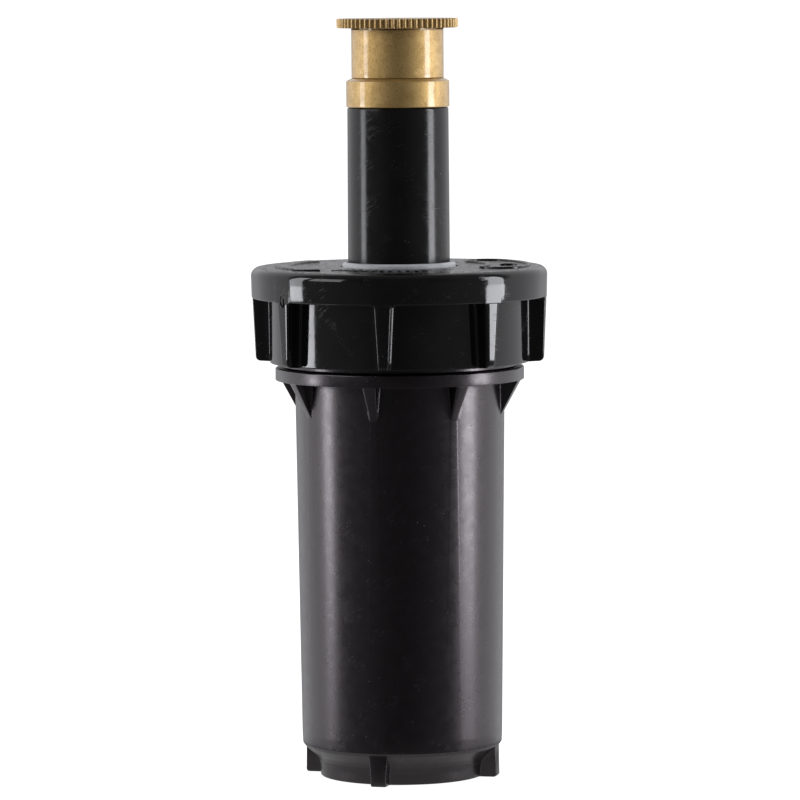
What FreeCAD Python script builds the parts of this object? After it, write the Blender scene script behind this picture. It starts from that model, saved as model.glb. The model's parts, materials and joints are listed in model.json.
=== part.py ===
"""Pop-up spray sprinkler with a brass nozzle, as a parametric FreeCAD document.

Frame: millimetres, +Z up along the axis of the head, origin on that axis in the plane of the case's
foot. The head is modelled popped up. -Y is the front. Every piece is one body or primitive whose
sizes are bound to the spreadsheet "sizes", and is written to parts/NODE.step under its own label.
"""
import FreeCAD, Part
import math
import os
import re
import Sketcher

# Alias, value in millimetres (angles in degrees, counts as plain numbers), what it is.
SIZES = [
    # case
    ("foot_radius", 15.85, "outside of the foot ring at the floor"),
    ("foot_step", 2.9, "height where the foot ring starts to flare"),
    ("foot_height", 6.4, "height where the flare meets the can"),
    ("can_radius_low", 19.2, "outside of the can above the flare"),
    ("can_radius_high", 20.15, "outside of the can under the flange"),
    ("can_wall", 2.0, "wall of the can"),
    ("floor_top", 17.5, "inside floor of the can"),
    ("flange_bottom", 76.5, "underside of the flange"),
    ("flange_top", 78.9, "top of the flange"),
    ("flange_radius", 23.9, "outside of the flange"),
    ("neck_radius", 22.0, "root of the male thread above the flange"),
    ("neck_bore", 19.9, "bore of the neck"),
    ("rim_top", 92.6, "top of the neck"),
    ("inlet_radius", 9.2, "bore of the half-inch pipe inlet"),
    ("inlet_depth", 15.0, "length of the pipe inlet"),
    ("throat_radius", 7.5, "hole from the inlet into the can"),
    ("boss_radius", 12.4, "outside of the inlet boss in the foot recess"),
    ("recess_radius", 14.2, "inside of the foot ring"),
    ("web_width", 1.4, "webs between inlet boss and foot ring"),
    ("gusset_bottom", 69.9, "lower tip of a gusset"),
    ("gusset_width_low", 1.45, "gusset's width at its tip"),
    ("gusset_width_high", 2.5, "gusset's width at the flange"),
    ("fin_radius", 19.0, "outside of a foot fin"),
    ("fin_width_low", 2.9, "foot fin's width at the floor"),
    ("fin_width_high", 3.7, "foot fin's width at the can"),
    ("gusset_turn", -104.5, "angle of the first gusset and fin from +X"),
    ("guide_height", 1.0, "how far a guide rib stands into the can"),
    ("guide_width", 1.6, "guide rib's width"),
    ("edge", 0.3, "small rounding of a moulded edge"),
    ("overlap", 0.8, "how far a rib reaches into the wall that it grows from"),
    # thread between case and cap
    ("thread_pitch", 3.0, "pitch of the cap's thread"),
    ("thread_depth", 1.1, "height of the thread's ridge"),
    ("thread_play", 0.2, "gap between the male and female ridges"),
    # cap
    ("cap_radius", 28.5, "outside of the cap's band"),
    ("cap_top", 98.2, "flat top of the cap"),
    ("cap_edge", 1.6, "radius of the cap's top edge"),
    ("band_bottom", 92.3, "lower edge of the band"),
    ("skirt_radius", 25.0, "outside of the skirt between the grips"),
    ("skirt_bottom", 79.8, "lower edge of the skirt"),
    ("skirt_bore", 23.5, "inside of the skirt"),
    ("cap_hole", 11.3, "hole round the seal"),
    ("grip_width_low", 1.9, "grip's width at its lower end"),
    ("grip_width_high", 3.2, "grip's width at the band"),
    ("grip_radius_low", 27.8, "outside of a grip at its lower end"),
    ("grip_radius_high", 28.3, "outside of a grip at the band"),
    ("grip_turn", -96.5, "angle of the first grip from +X"),
    ("grip_corner", 0.9, "rounding of a grip's lower corner"),
    ("mark_height", 0.4, "how far the raised marks stand up"),
    # seal, gasket, retainer and spring under the cap
    ("seal_top", 99.4, "top of the seal's lip"),
    ("seal_bore", 9.95, "inside of the seal's lips"),
    ("seal_neck", 11.2, "outside of the seal in the cap's hole"),
    ("seal_flange", 15.4, "outside of the seal's flange"),
    ("seal_seat", 96.0, "underside of the cap over the seal's flange"),
    ("cap_under", 94.9, "underside of the cap over the retainer"),
    ("retainer_plate", 1.3, "thickness of the retainer"),
    ("retainer_bore", 10.15, "bore of the retainer"),
    ("retainer_spigot", 11.7, "outside of the retainer's spigot"),
    ("retainer_bottom", 87.5, "lower end of the spigot"),
    ("spring_seat", 92.4, "underside of the retainer where the spring pushes"),
    ("spring_radius", 13.6, "mean radius of the spring"),
    ("wire_radius", 0.6, "radius of the spring's wire"),
    ("spring_turns", 9.0, "turns of the spring"),
    # ratchet ring and riser
    ("ratchet_bottom", 67.4, "underside of the ratchet ring's plate"),
    ("ratchet_plate", 2.0, "thickness of that plate"),
    ("ratchet_radius", 16.7, "outside of the ratchet ring"),
    ("ratchet_bore", 10.3, "bore of the ratchet ring"),
    ("hub_top", 73.4, "top of the ratchet ring's hub"),
    ("rim_lip", 72.6, "top of the ratchet ring's outer wall"),
    ("tooth_height", 0.7, "height of the ratchet's teeth"),
    ("tooth_gap", 0.1, "clearance between the two rings of teeth"),
    ("tooth_count", 24, "ratchet teeth in each ring"),
    ("tooth_inner", 11.2, "inner end of a ratchet tooth"),
    ("tooth_outer", 14.0, "outer end of a ratchet tooth"),
    ("tooth_root", 1.3, "ratchet tooth's width at its root"),
    ("tooth_tip", 0.3, "ratchet tooth's width at its tip"),
    ("riser_bottom", 62.6, "lower end of the riser"),
    ("riser_foot", 14.4, "outside of the riser's foot flange"),
    ("riser_radius_low", 9.9, "outside of the riser above its foot"),
    ("riser_radius_high", 9.7, "outside of the riser under the nozzle"),
    ("riser_bore", 7.9, "bore of the riser"),
    ("riser_shoulder", 128.6, "shoulder under the nozzle"),
    ("spout_radius", 7.8, "root of the riser's top thread"),
    ("spout_bore", 6.9, "bore inside that thread"),
    ("spout_top", 131.6, "top of the riser"),
    ("spout_pitch", 0.94, "pitch of the riser's top thread"),
    # nozzle
    ("collar_bottom", 128.7, "lower face of the brass collar"),
    ("collar_top", 133.7, "edge where the collar's cone starts"),
    ("collar_radius", 9.88, "outside of the collar"),
    ("collar_bore", 8.35, "bore of the collar over the riser's thread"),
    ("cone_top", 134.6, "top of the collar's cone"),
    ("cone_radius", 8.0, "radius at the top of the cone"),
    ("stem_radius", 7.0, "outside of the stem inside the sleeve"),
    ("stem_bore", 5.8, "bore of that stem"),
    ("stem_top", 143.55, "top of the stem on its closed side"),
    ("ring_groove", 136.0, "lower side of the stem's O-ring groove"),
    ("ring_wire", 0.29, "half the thickness of the sleeve's O-ring"),
    ("snap_groove", 139.35, "lower side of the stem's snap ring groove"),
    ("snap_height", 0.7, "height of that groove"),
    ("stem_shelf", 133.1, "shelf that clamps the filter"),
    ("spray_arc", 180.0, "arc that the nozzle sprays over"),
    ("sleeve_radius", 8.84, "outside of the arc sleeve"),
    ("sleeve_bore", 7.1, "bore of the arc sleeve"),
    ("sleeve_bottom", 134.45, "lower edge of the arc sleeve"),
    ("slot_height", 0.35, "height of the spray slot under the disc"),
    ("disc_bottom", 143.8, "underside of the knurled disc"),
    ("disc_top", 145.6, "top of the knurled disc"),
    ("disc_radius", 11.65, "outside of the knurled disc"),
    ("knurl_depth", 0.42, "depth of the knurl's grooves"),
    ("knurl_count", 65, "teeth of the knurl"),
    ("knurl_width", 0.55, "width of a knurl tooth"),
    # flow screw, throttle, filter
    ("well_radius", 2.9, "well for the screw's head"),
    ("well_bottom", 140.7, "floor of the well"),
    ("head_radius", 2.55, "flow screw's head"),
    ("head_bottom", 143.2, "underside of the head"),
    ("head_top", 145.4, "top of the head"),
    ("shank_radius", 1.3, "flow screw's shank"),
    ("screw_tip", 130.2, "lower end of the screw"),
    ("neck_below", 0.75, "screw's neck in the throttle disc"),
    ("screw_pitch", 0.7, "pitch of the flow screw"),
    ("screw_ring_wire", 0.38, "half the thickness of the O-ring round the screw's head"),
    ("hub_bore", 1.65, "hole in the stem's hub"),
    ("hub_radius", 3.0, "outside of the stem's hub"),
    ("throttle_radius", 4.6, "throttle disc"),
    ("throttle_bottom", 130.7, "underside of the throttle disc"),
    ("throttle_height", 1.25, "thickness of the throttle disc"),
    ("cup_radius", 6.5, "outside of the filter's cup"),
    ("cup_bore", 5.3, "inside of the filter's cup"),
    ("cup_bottom", 127.0, "underside of the cup"),
    ("outlet_radius", 3.2, "filter's outlet in the cup's floor"),
    ("filter_bottom", 105.0, "lower end of the filter"),
    ("mesh_radius", 4.95, "outside of the filter's mesh"),
    ("mesh_wall", 0.25, "thickness of the mesh"),
    ("bar_depth", 0.75, "how far the filter's bars stand out of the mesh"),
]
ALIASES = {alias for alias, _, _ in SIZES}
SHEET = "sizes"

doc = FreeCAD.newDocument("popup_sprinkler")
nodes = []


# ---- the spreadsheet and its expressions ---------------------------------------------------------

def make_sheet():
    """The driving dimensions, one alias a row."""
    sheet = doc.addObject("Spreadsheet::Sheet", SHEET)
    for row, (alias, value, note) in enumerate(SIZES, start=1):
        sheet.set(f"A{row}", str(value))
        sheet.setAlias(f"A{row}", alias)
        sheet.set(f"B{row}", note)
    doc.recompute()
    return sheet


def bound(text):
    """An expression over aliases, with each alias named as a cell of the sheet."""
    return re.sub(r"[a-z_]+", lambda m: f"{SHEET}.{m[0]}" if m[0] in ALIASES else m[0], str(text))


def value(text):
    """The number that an expression over aliases has now."""
    result = doc.getObject(SHEET).evalExpression(bound(text).replace(f"{SHEET}.", ""))
    return float(getattr(result, "Value", result))


# ---- sketches and features -----------------------------------------------------------------------

def new_body(label):
    """An empty body that becomes one node."""
    body = doc.addObject("PartDesign::Body", label)
    body.Label = label
    nodes.append(body)
    return body


def origin_feature(body, role):
    """A body's own origin plane or axis."""
    return next(f for f in body.Origin.OriginFeatures if f.Role == role)


def polygon(body, name, role, points, height=0, turn=0):
    """A closed sketch of straight lines whose corners are bound to expressions.

    It lies on an origin plane of the body, lifted by height and turned by turn about the plane's normal.
    """
    sketch = body.newObject("Sketcher::SketchObject", name)
    sketch.AttachmentSupport = [(origin_feature(body, role), "")]
    sketch.MapMode = "FlatFace"
    sketch.setExpression("AttachmentOffset.Base.z", bound(height))
    sketch.setExpression("AttachmentOffset.Rotation.Angle", bound(turn))
    corners = [FreeCAD.Vector(value(x), value(y), 0) for x, y in points]
    count = len(corners)
    for i in range(count):
        sketch.addGeometry(Part.LineSegment(corners[i], corners[(i + 1) % count]), False)
    for i in range(count):
        sketch.addConstraint(Sketcher.Constraint("Coincident", i, 2, (i + 1) % count, 1))
        bind_corner(sketch, i, corners[i], points[i])
    return sketch


def bind_corner(sketch, line, corner, expressions):
    """Ties the start of a line to the sketch's origin by two expressions."""
    for kind, number, text in zip(("DistanceX", "DistanceY"), (corner.x, corner.y), expressions):
        if abs(number) < 1e-9:
            axis = -2 if kind == "DistanceX" else -1
            sketch.addConstraint(Sketcher.Constraint("PointOnObject", line, 1, axis))
        else:
            index = sketch.addConstraint(Sketcher.Constraint(kind, -1, 1, line, 1, number))
            sketch.setExpression(f"Constraints[{index}]", bound(text))


def turned(body, name, points, cut=False, arc=360, turn=0):
    """A profile of (radius, height) points turned about the axis, added or cut."""
    sketch = polygon(body, name + "_profile", "XZ_Plane", points)
    feature = body.newObject("PartDesign::Groove" if cut else "PartDesign::Revolution", name)
    feature.Profile = sketch
    feature.ReferenceAxis = (origin_feature(body, "Z_Axis"), [""])
    feature.setExpression("Angle", bound(arc))
    return feature


def wedges(body, name, levels, count, turn=0, cut=False):
    """Ribs or notches that taper between level rectangles, repeated round the axis.

    Each of levels is (height, inner radius, outer radius, width), from the bottom up.
    """
    sketches = []
    for number, (height, inner, outer, width) in enumerate(levels):
        half = f"({width})/2"
        corners = [(inner, f"-{half}"), (outer, f"-{half}"), (outer, half), (inner, half)]
        sketches.append(polygon(body, f"{name}_level{number}", "XY_Plane", corners, height, turn))
    kind = "PartDesign::SubtractiveLoft" if cut else "PartDesign::AdditiveLoft"
    loft = body.newObject(kind, name)
    loft.Profile = sketches[0]
    loft.Sections = sketches[1:]
    loft.Ruled = True
    return around(body, loft, count)


def around(body, feature, count):
    """Repeats a feature round the axis."""
    if value(count) < 2:
        return feature
    pattern = body.newObject("PartDesign::PolarPattern", feature.Name + "_pattern")
    pattern.Originals = [feature]
    pattern.Axis = (origin_feature(body, "Z_Axis"), [""])
    pattern.Angle = 360
    pattern.setExpression("Occurrences", bound(count))
    body.Tip = pattern
    return pattern


def ridge(body, name, root, crest, start, height, pitch):
    """A helical thread ridge from radius root to crest; it overlaps the wall at root a little."""
    inward = value(crest) < value(root)
    foot = f"{root} + 0.15" if inward else f"{root} - 0.15"
    base, flat = f"({pitch}) * 0.38", f"({pitch}) * 0.1"
    profile = [
        (foot, f"{start} - {base}"),
        (crest, f"{start} - {flat}"),
        (crest, f"{start} + {flat}"),
        (foot, f"{start} + {base}"),
    ]
    sketch = polygon(body, name + "_profile", "XZ_Plane", profile)
    doc.recompute()
    helix = body.newObject("PartDesign::AdditiveHelix", name)
    helix.Profile = sketch
    helix.ReferenceAxis = (origin_feature(body, "Z_Axis"), [""])
    helix.Mode = "pitch-height-angle"
    helix.setExpression("Pitch", bound(pitch))
    helix.setExpression("Height", bound(height))
    return helix


def soften(body, name, radius, chosen, kind="Fillet"):
    """Rounds (or chamfers) the edges of the body so far that chosen(edge) picks."""
    doc.recompute()
    base = body.Tip
    edges = [f"Edge{i}" for i, edge in enumerate(base.Shape.Edges, start=1) if chosen(edge)]
    if not edges:
        raise RuntimeError(f"{body.Label}.{name} picks no edge")
    feature = body.newObject("PartDesign::" + kind, name)
    feature.Base = (base, edges)
    feature.setExpression("Size" if kind == "Chamfer" else "Radius", bound(radius))
    return feature


def circle_at(radius, height):
    """Picks the circular edges about the axis at that radius and height."""
    def chosen(edge):
        box = edge.BoundBox
        level = abs(box.ZMin - value(height)) < 0.01 and abs(box.ZMax - value(height)) < 0.01
        middle = edge.valueAt((edge.FirstParameter + edge.LastParameter) / 2)
        return level and abs(math.hypot(middle.x, middle.y) - value(radius)) < 0.01
    return chosen


def straight_outside(radius, height):
    """Picks the straight level edges at that height whose middle lies outside radius."""
    def chosen(edge):
        middle = edge.valueAt((edge.FirstParameter + edge.LastParameter) / 2)
        level = abs(edge.BoundBox.ZMin - value(height)) < 0.01 and edge.BoundBox.ZLength < 0.01
        across = edge.Curve.TypeId == "Part::GeomLine"
        return across and level and math.hypot(middle.x, middle.y) > value(radius)
    return chosen


# ---- the fixed pieces ----------------------------------------------------------------------------

def make_case():
    """The can: foot ring, flare, tapered wall, flange, threaded neck and pipe inlet."""
    body = new_body("case_body")
    turned(body, "shell", [
        ("foot_radius - edge", "0"),
        ("foot_radius", "edge"),
        ("foot_radius + 0.05", "foot_step"),
        ("foot_radius + 0.3", "foot_step + 0.6"),
        ("foot_radius + 0.9", "foot_step + 1.2"),
        ("can_radius_low - 0.35", "foot_height - 0.5"),
        ("can_radius_low", "foot_height"),
        ("can_radius_high", "flange_bottom"),
        ("flange_radius", "flange_bottom"),
        ("flange_radius", "flange_top"),
        ("neck_radius", "flange_top"),
        ("neck_radius", "rim_top"),
        ("neck_bore", "rim_top"),
        ("neck_bore", "flange_top"),
        ("can_radius_high - can_wall", "flange_bottom - 1"),
        ("can_radius_low - can_wall + 0.15", "floor_top"),
        ("throat_radius", "floor_top"),
        ("throat_radius", "inlet_depth"),
        ("inlet_radius", "inlet_depth"),
        ("inlet_radius", "0"),
        ("boss_radius", "0"),
        ("boss_radius", "inlet_depth - 1"),
        ("recess_radius", "inlet_depth - 1"),
        ("recess_radius", "0"),
    ])
    soften(body, "flange_edge", "edge", circle_at("flange_radius", "flange_top"))
    wedges(body, "gusset", [
        ("gusset_bottom", "can_radius_high - overlap", "can_radius_high - 0.05", "gusset_width_low"),
        ("flange_bottom + 0.2", "can_radius_high - overlap", "flange_radius - 0.1", "gusset_width_high"),
    ], 8, "gusset_turn")
    fin_root = "recess_radius + overlap"
    wedges(body, "fin", [
        ("0", fin_root, "fin_radius - 0.5", "fin_width_low"),
        ("0.5", fin_root, "fin_radius", "fin_width_low + 0.05"),
        ("foot_height + 1", fin_root, "fin_radius", "fin_width_high"),
    ], 4, "gusset_turn")
    web = ("boss_radius - overlap", "recess_radius + overlap", "web_width")
    wedges(body, "web", [("1.2", *web), ("inlet_depth - 0.5", *web)], 8, "gusset_turn")
    low_wall = "can_radius_low - can_wall + 0.15 - guide_height"
    high_wall = "can_radius_high - can_wall - guide_height"
    wedges(body, "guide", [
        ("floor_top - 0.5", low_wall, "can_radius_low - 1", "guide_width"),
        ("flange_bottom - 4", high_wall, "can_radius_high - 1", "guide_width"),
    ], 4, "gusset_turn")
    ridge(body, "male_thread", "neck_radius", "neck_radius + thread_depth",
          "flange_top + thread_pitch * 0.9", "rim_top - flange_top - thread_pitch * 1.9",
          "thread_pitch")
    return body


def make_cap():
    """The screw cap: rounded band, skirt, eight tapered grips, female thread, raised marks."""
    body = new_body("cap")
    turned(body, "shell", [
        ("cap_hole", "cap_top"),
        ("cap_radius", "cap_top"),
        ("cap_radius - 0.15", "band_bottom"),
        ("skirt_radius", "band_bottom"),
        ("skirt_radius - 0.1", "skirt_bottom"),
        ("skirt_bore", "skirt_bottom"),
        ("skirt_bore", "cap_under"),
        ("seal_flange + 0.2", "cap_under"),
        ("seal_flange + 0.2", "seal_seat"),
        ("cap_hole", "seal_seat"),
    ])
    soften(body, "top_edge", "cap_edge", circle_at("cap_radius", "cap_top"))
    soften(body, "skirt_edge", "edge", circle_at("skirt_radius - 0.1", "skirt_bottom"))
    soften(body, "hole_edge", "0.2", circle_at("cap_hole", "cap_top"))
    wedges(body, "grip", [
        ("skirt_bottom + 0.2", "skirt_radius - overlap", "grip_radius_low", "grip_width_low"),
        ("band_bottom + 0.1", "skirt_radius - overlap", "grip_radius_high", "grip_width_high"),
    ], 8, "grip_turn")
    lower_edges = straight_outside("grip_radius_low - 0.3", "skirt_bottom + 0.2")
    soften(body, "grip_rounding", "grip_corner", lower_edges)
    # Half a pitch from the male ridge, so that each runs in the other's groove.
    ridge(body, "female_thread", "skirt_bore", "skirt_bore - thread_depth + thread_play",
          "flange_top + thread_pitch * 1.4", "thread_pitch * 2.2", "thread_pitch")
    add_marks(body)
    return body


def add_marks(body):
    """Raised marks on the cap: a curved arrow that shows the way to close it, and a framed drop."""
    arrow = mark_sketch(body, "arrow_outline")
    curved_arrow(arrow, 20.4, 22.4, 150, 204, 8)
    pad(body, "arrow", arrow)
    frame = mark_sketch(body, "frame_outline")
    for margin in (0.0, 0.7):
        curved_frame(frame, 17.0 + margin, 25.4 - margin, -14, 38)
    pad(body, "frame", frame)
    drop = mark_sketch(body, "drop_outline")
    drop_shape(drop, polar(20.8, 10), 1.7, 3.4)
    pad(body, "drop", drop)


def mark_sketch(body, name):
    """A sketch just under the cap's top."""
    sketch = body.newObject("Sketcher::SketchObject", name)
    sketch.AttachmentSupport = [(origin_feature(body, "XY_Plane"), "")]
    sketch.MapMode = "FlatFace"
    sketch.setExpression("AttachmentOffset.Base.z", bound("cap_top - 0.1"))
    return sketch


def pad(body, name, sketch):
    """Raises a mark by mark_height above the cap's top."""
    doc.recompute()
    feature = body.newObject("PartDesign::Pad", name)
    feature.Profile = sketch
    feature.setExpression("Length", bound("mark_height + 0.1"))
    return feature


def polar(radius, degrees):
    """The point at a radius and angle about the axis."""
    angle = math.radians(degrees)
    return FreeCAD.Vector(radius * math.cos(angle), radius * math.sin(angle), 0)


def arc_between(radius, start, end):
    """An arc about the axis from angle start to end, in degrees."""
    return Part.Arc(polar(radius, start), polar(radius, (start + end) / 2), polar(radius, end))


def curved_arrow(sketch, inner, outer, start, end, head):
    """A curved arrow: an arc band from start to end with a head that spans head degrees."""
    middle = (inner + outer) / 2
    wide = outer - inner
    tip = polar(middle, end + head)
    sketch.addGeometry([
        arc_between(inner, start, end),
        Part.LineSegment(polar(inner, end), polar(inner - wide * 0.6, end)),
        Part.LineSegment(polar(inner - wide * 0.6, end), tip),
        Part.LineSegment(tip, polar(outer + wide * 0.6, end)),
        Part.LineSegment(polar(outer + wide * 0.6, end), polar(outer, end)),
        arc_between(outer, start, end),
        Part.LineSegment(polar(outer, start), polar(inner, start)),
    ], False)


def curved_frame(sketch, inner, outer, start, end):
    """A band about the axis with half-round ends."""
    middle = (inner + outer) / 2
    bulge = math.degrees((outer - inner) / 2 / middle)
    sketch.addGeometry([
        arc_between(inner, start, end),
        Part.Arc(polar(inner, end), polar(middle, end + bulge), polar(outer, end)),
        arc_between(outer, start, end),
        Part.Arc(polar(outer, start), polar(middle, start - bulge), polar(inner, start)),
    ], False)


def drop_shape(sketch, centre, radius, reach):
    """A water drop: most of a circle and two lines that meet at a point reach away."""
    spread = math.degrees(math.acos(radius / reach))
    point = centre + FreeCAD.Vector(0, reach, 0)
    left = centre + polar(radius, 90 + spread)
    right = centre + polar(radius, 90 - spread)
    bottom = centre + polar(radius, -90)
    sketch.addGeometry([
        Part.Arc(left, bottom, right),
        Part.LineSegment(right, point),
        Part.LineSegment(point, left),
    ], False)


def make_under_cap():
    """The wiper seal, the gasket on the rim, and the retainer that the spring pushes on."""
    seal = new_body("wiper_seal")
    turned(seal, "lips", [
        ("seal_bore", "seal_top - 0.2"),
        ("seal_bore + 0.25", "seal_top"),
        ("seal_neck", "cap_top + 0.3"),
        ("seal_neck", "seal_seat"),
        ("seal_flange", "seal_seat"),
        ("seal_flange", "cap_under + 0.05"),
        ("seal_bore + 0.15", "cap_under + 0.05"),
        ("seal_bore", "cap_under + 0.4"),
        ("seal_bore + 0.75", "cap_under + 1.3"),
        ("seal_bore + 0.75", "seal_top - 1.5"),
    ])
    soften(seal, "lip_edge", "edge * 0.8", circle_at("seal_neck", "cap_top + 0.3"))
    gasket = new_body("rim_gasket")
    turned(gasket, "ring", [
        ("neck_bore + 0.1", "rim_top"),
        ("neck_radius - 0.1", "rim_top"),
        ("neck_radius - 0.1", "cap_under - retainer_plate"),
        ("neck_bore + 0.1", "cap_under - retainer_plate"),
    ])
    retainer = new_body("seal_retainer")
    turned(retainer, "ring", [
        ("retainer_bore", "cap_under"),
        ("neck_radius", "cap_under"),
        ("neck_radius", "cap_under - retainer_plate"),
        ("neck_bore - 3", "cap_under - retainer_plate"),
        ("neck_bore - 3", "spring_seat"),
        ("retainer_spigot", "spring_seat"),
        ("retainer_spigot", "retainer_bottom"),
        ("retainer_bore", "retainer_bottom"),
    ])
    soften(retainer, "spigot_edge", "0.4", circle_at("retainer_spigot", "retainer_bottom"), "Chamfer")


def make_spring():
    """The retract spring, squeezed between the ratchet ring and the retainer."""
    low = value("ratchet_bottom + ratchet_plate + wire_radius + 0.02")
    high = value("spring_seat - wire_radius - 0.02")
    turns = value("spring_turns")
    radius = value("spring_radius")
    path = Part.makeHelix((high - low) / turns, high - low, radius)
    start = path.Edges[0].valueAt(path.Edges[0].FirstParameter)
    tangent = path.Edges[0].tangentAt(path.Edges[0].FirstParameter)
    section = Part.Wire(Part.makeCircle(value("wire_radius"), start, tangent))
    spring = doc.addObject("Part::Feature", "retract_spring")
    spring.Label = "retract_spring"
    spring.Shape = Part.Wire(path).makePipeShell([section], True, True)
    spring.Placement = FreeCAD.Placement(FreeCAD.Vector(0, 0, low), FreeCAD.Rotation())
    nodes.append(spring)


# ---- the pieces that slide and turn --------------------------------------------------------------

def make_ratchet_ring():
    """The ring that slides on the case's guide ribs and carries the spring; teeth face down."""
    body = new_body("ratchet_ring")
    plate_top = "ratchet_bottom + ratchet_plate"
    turned(body, "ring", [
        ("ratchet_bore", "ratchet_bottom"),
        ("ratchet_radius", "ratchet_bottom"),
        ("ratchet_radius", "rim_lip"),
        ("ratchet_radius - 1.4", "rim_lip"),
        ("ratchet_radius - 1.4", plate_top),
        ("ratchet_bore + 1.6", plate_top),
        ("ratchet_bore + 1.6", "hub_top"),
        ("ratchet_bore", "hub_top"),
    ])
    wedges(body, "tooth", [
        ("ratchet_bottom - tooth_height", "tooth_inner", "tooth_outer", "tooth_tip"),
        ("ratchet_bottom + 0.1", "tooth_inner", "tooth_outer", "tooth_root"),
    ], "tooth_count")
    notch = ("can_radius_low - can_wall - guide_height - 0.4", "ratchet_radius + 1", "guide_width + 0.8")
    levels = [("ratchet_bottom - 1", *notch), ("hub_top + 1", *notch)]
    wedges(body, "notch", levels, 4, "gusset_turn", cut=True)
    return body


def make_riser():
    """The sliding stem: foot flange with ratchet teeth, tapered tube, thread for the nozzle."""
    body = new_body("riser")
    foot_top = "ratchet_bottom - tooth_height * 2 - tooth_gap"
    turned(body, "tube", [
        ("riser_bore", "riser_bottom"),
        ("riser_foot", "riser_bottom"),
        ("riser_foot", foot_top),
        ("riser_radius_low", foot_top),
        ("riser_radius_high", "riser_shoulder"),
        ("spout_radius", "riser_shoulder"),
        ("spout_radius", "spout_top"),
        ("spout_bore", "spout_top"),
        ("spout_bore", "riser_shoulder - 3"),
        ("riser_bore", "riser_shoulder - 4"),
    ])
    soften(body, "foot_edge", "0.5", circle_at("riser_foot", "riser_bottom"), "Chamfer")
    wedges(body, "tooth", [
        (f"{foot_top} - 0.1", "tooth_inner", "tooth_outer", "tooth_root"),
        (f"{foot_top} + tooth_height", "tooth_inner", "tooth_outer", "tooth_tip"),
    ], "tooth_count")
    ridge(body, "top_thread", "spout_radius", "spout_radius + 0.45", "riser_shoulder + spout_pitch * 0.6",
          "spout_pitch * 2", "spout_pitch")
    return body


def make_nozzle_base():
    """The brass base: collar over the riser, cone, hollow stem with a webbed hub, spray step."""
    body = new_body("nozzle_base")
    turned(body, "collar", [
        ("collar_bore", "collar_bottom"),
        ("collar_radius", "collar_bottom"),
        ("collar_radius", "collar_top"),
        ("cone_radius", "cone_top"),
        ("stem_radius", "cone_top + 0.1"),
        ("stem_radius", "ring_groove"),
        ("stem_radius - 0.55", "ring_groove"),
        ("stem_radius - 0.55", "ring_groove + 1"),
        ("stem_radius", "ring_groove + 1"),
        ("stem_radius", "snap_groove"),
        ("stem_radius - 0.4", "snap_groove"),
        ("stem_radius - 0.4", "snap_groove + snap_height"),
        ("stem_radius", "snap_groove + snap_height"),
        ("stem_radius", "stem_top"),
        ("stem_bore", "stem_top"),
        ("stem_bore", "stem_shelf"),
        ("collar_bore", "stem_shelf"),
    ])
    soften(body, "collar_edge", "0.15", circle_at("collar_radius", "collar_bottom"), "Chamfer")
    web = ("hub_radius - 0.4", "stem_bore + 0.4", "1.2")
    wedges(body, "web", [("stem_shelf + 1.6", *web), ("stem_shelf + 4.4", *web)], 3, "30")
    turned(body, "hub", [
        ("hub_bore", "stem_shelf + 1.3"),
        ("hub_radius", "stem_shelf + 1.3"),
        ("hub_radius", "stem_shelf + 5.2"),
        ("hub_bore", "stem_shelf + 5.2"),
    ])
    step = turned(body, "spray_step", [
        ("stem_bore - 0.5", "stem_top - 1.2"),
        ("stem_radius + 0.5", "stem_top - 1.2"),
        ("stem_radius + 0.5", "stem_top + 0.5"),
        ("stem_bore - 0.5", "stem_top + 0.5"),
    ], cut=True, arc="spray_arc")
    # The cut runs over the front half, -Y.
    step.Reversed = True
    return body


def make_arc_sleeve():
    """The brass sleeve that turns on the stem: barrel, spray slot, knurled disc, screw well."""
    body = new_body("arc_sleeve")
    turned(body, "barrel", [
        ("well_radius", "disc_top"),
        ("disc_radius - knurl_depth", "disc_top"),
        ("disc_radius - knurl_depth", "disc_bottom"),
        ("sleeve_radius", "disc_bottom"),
        ("sleeve_radius", "sleeve_bottom"),
        ("cone_radius", "sleeve_bottom + 0.5"),
        ("sleeve_bore", "sleeve_bottom + 0.5"),
        ("sleeve_bore", "snap_groove - 0.05"),
        ("sleeve_bore + 0.35", "snap_groove - 0.05"),
        ("sleeve_bore + 0.35", "snap_groove + snap_height + 0.05"),
        ("sleeve_bore", "snap_groove + snap_height + 0.05"),
        ("sleeve_bore", "disc_bottom"),
        ("well_radius + 1.2", "disc_bottom"),
        ("well_radius + 1.2", "well_bottom - 0.9"),
        ("hub_bore + 0.1", "well_bottom - 0.9"),
        ("hub_bore + 0.1", "well_bottom"),
        ("well_radius", "well_bottom"),
    ])
    slot = turned(body, "spray_slot", [
        ("sleeve_bore - 0.3", "disc_bottom - slot_height"),
        ("sleeve_radius + 0.5", "disc_bottom - slot_height"),
        ("sleeve_radius + 0.5", "disc_bottom"),
        ("sleeve_bore - 0.3", "disc_bottom"),
    ], cut=True, arc="spray_arc")
    slot.Reversed = True
    tooth = ("disc_radius - knurl_depth - edge", "disc_radius", "knurl_width")
    wedges(body, "knurl", [("disc_bottom", *tooth), ("disc_top", *tooth)], "knurl_count")
    return body


def o_ring(label, radius, wire, height):
    """An O-ring as a torus about the axis."""
    ring = doc.addObject("Part::Torus", label)
    ring.setExpression("Radius1", bound(radius))
    ring.setExpression("Radius2", bound(wire))
    ring.setExpression("Placement.Base.z", bound(height))
    ring.Label = label
    nodes.append(ring)
    return ring


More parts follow.
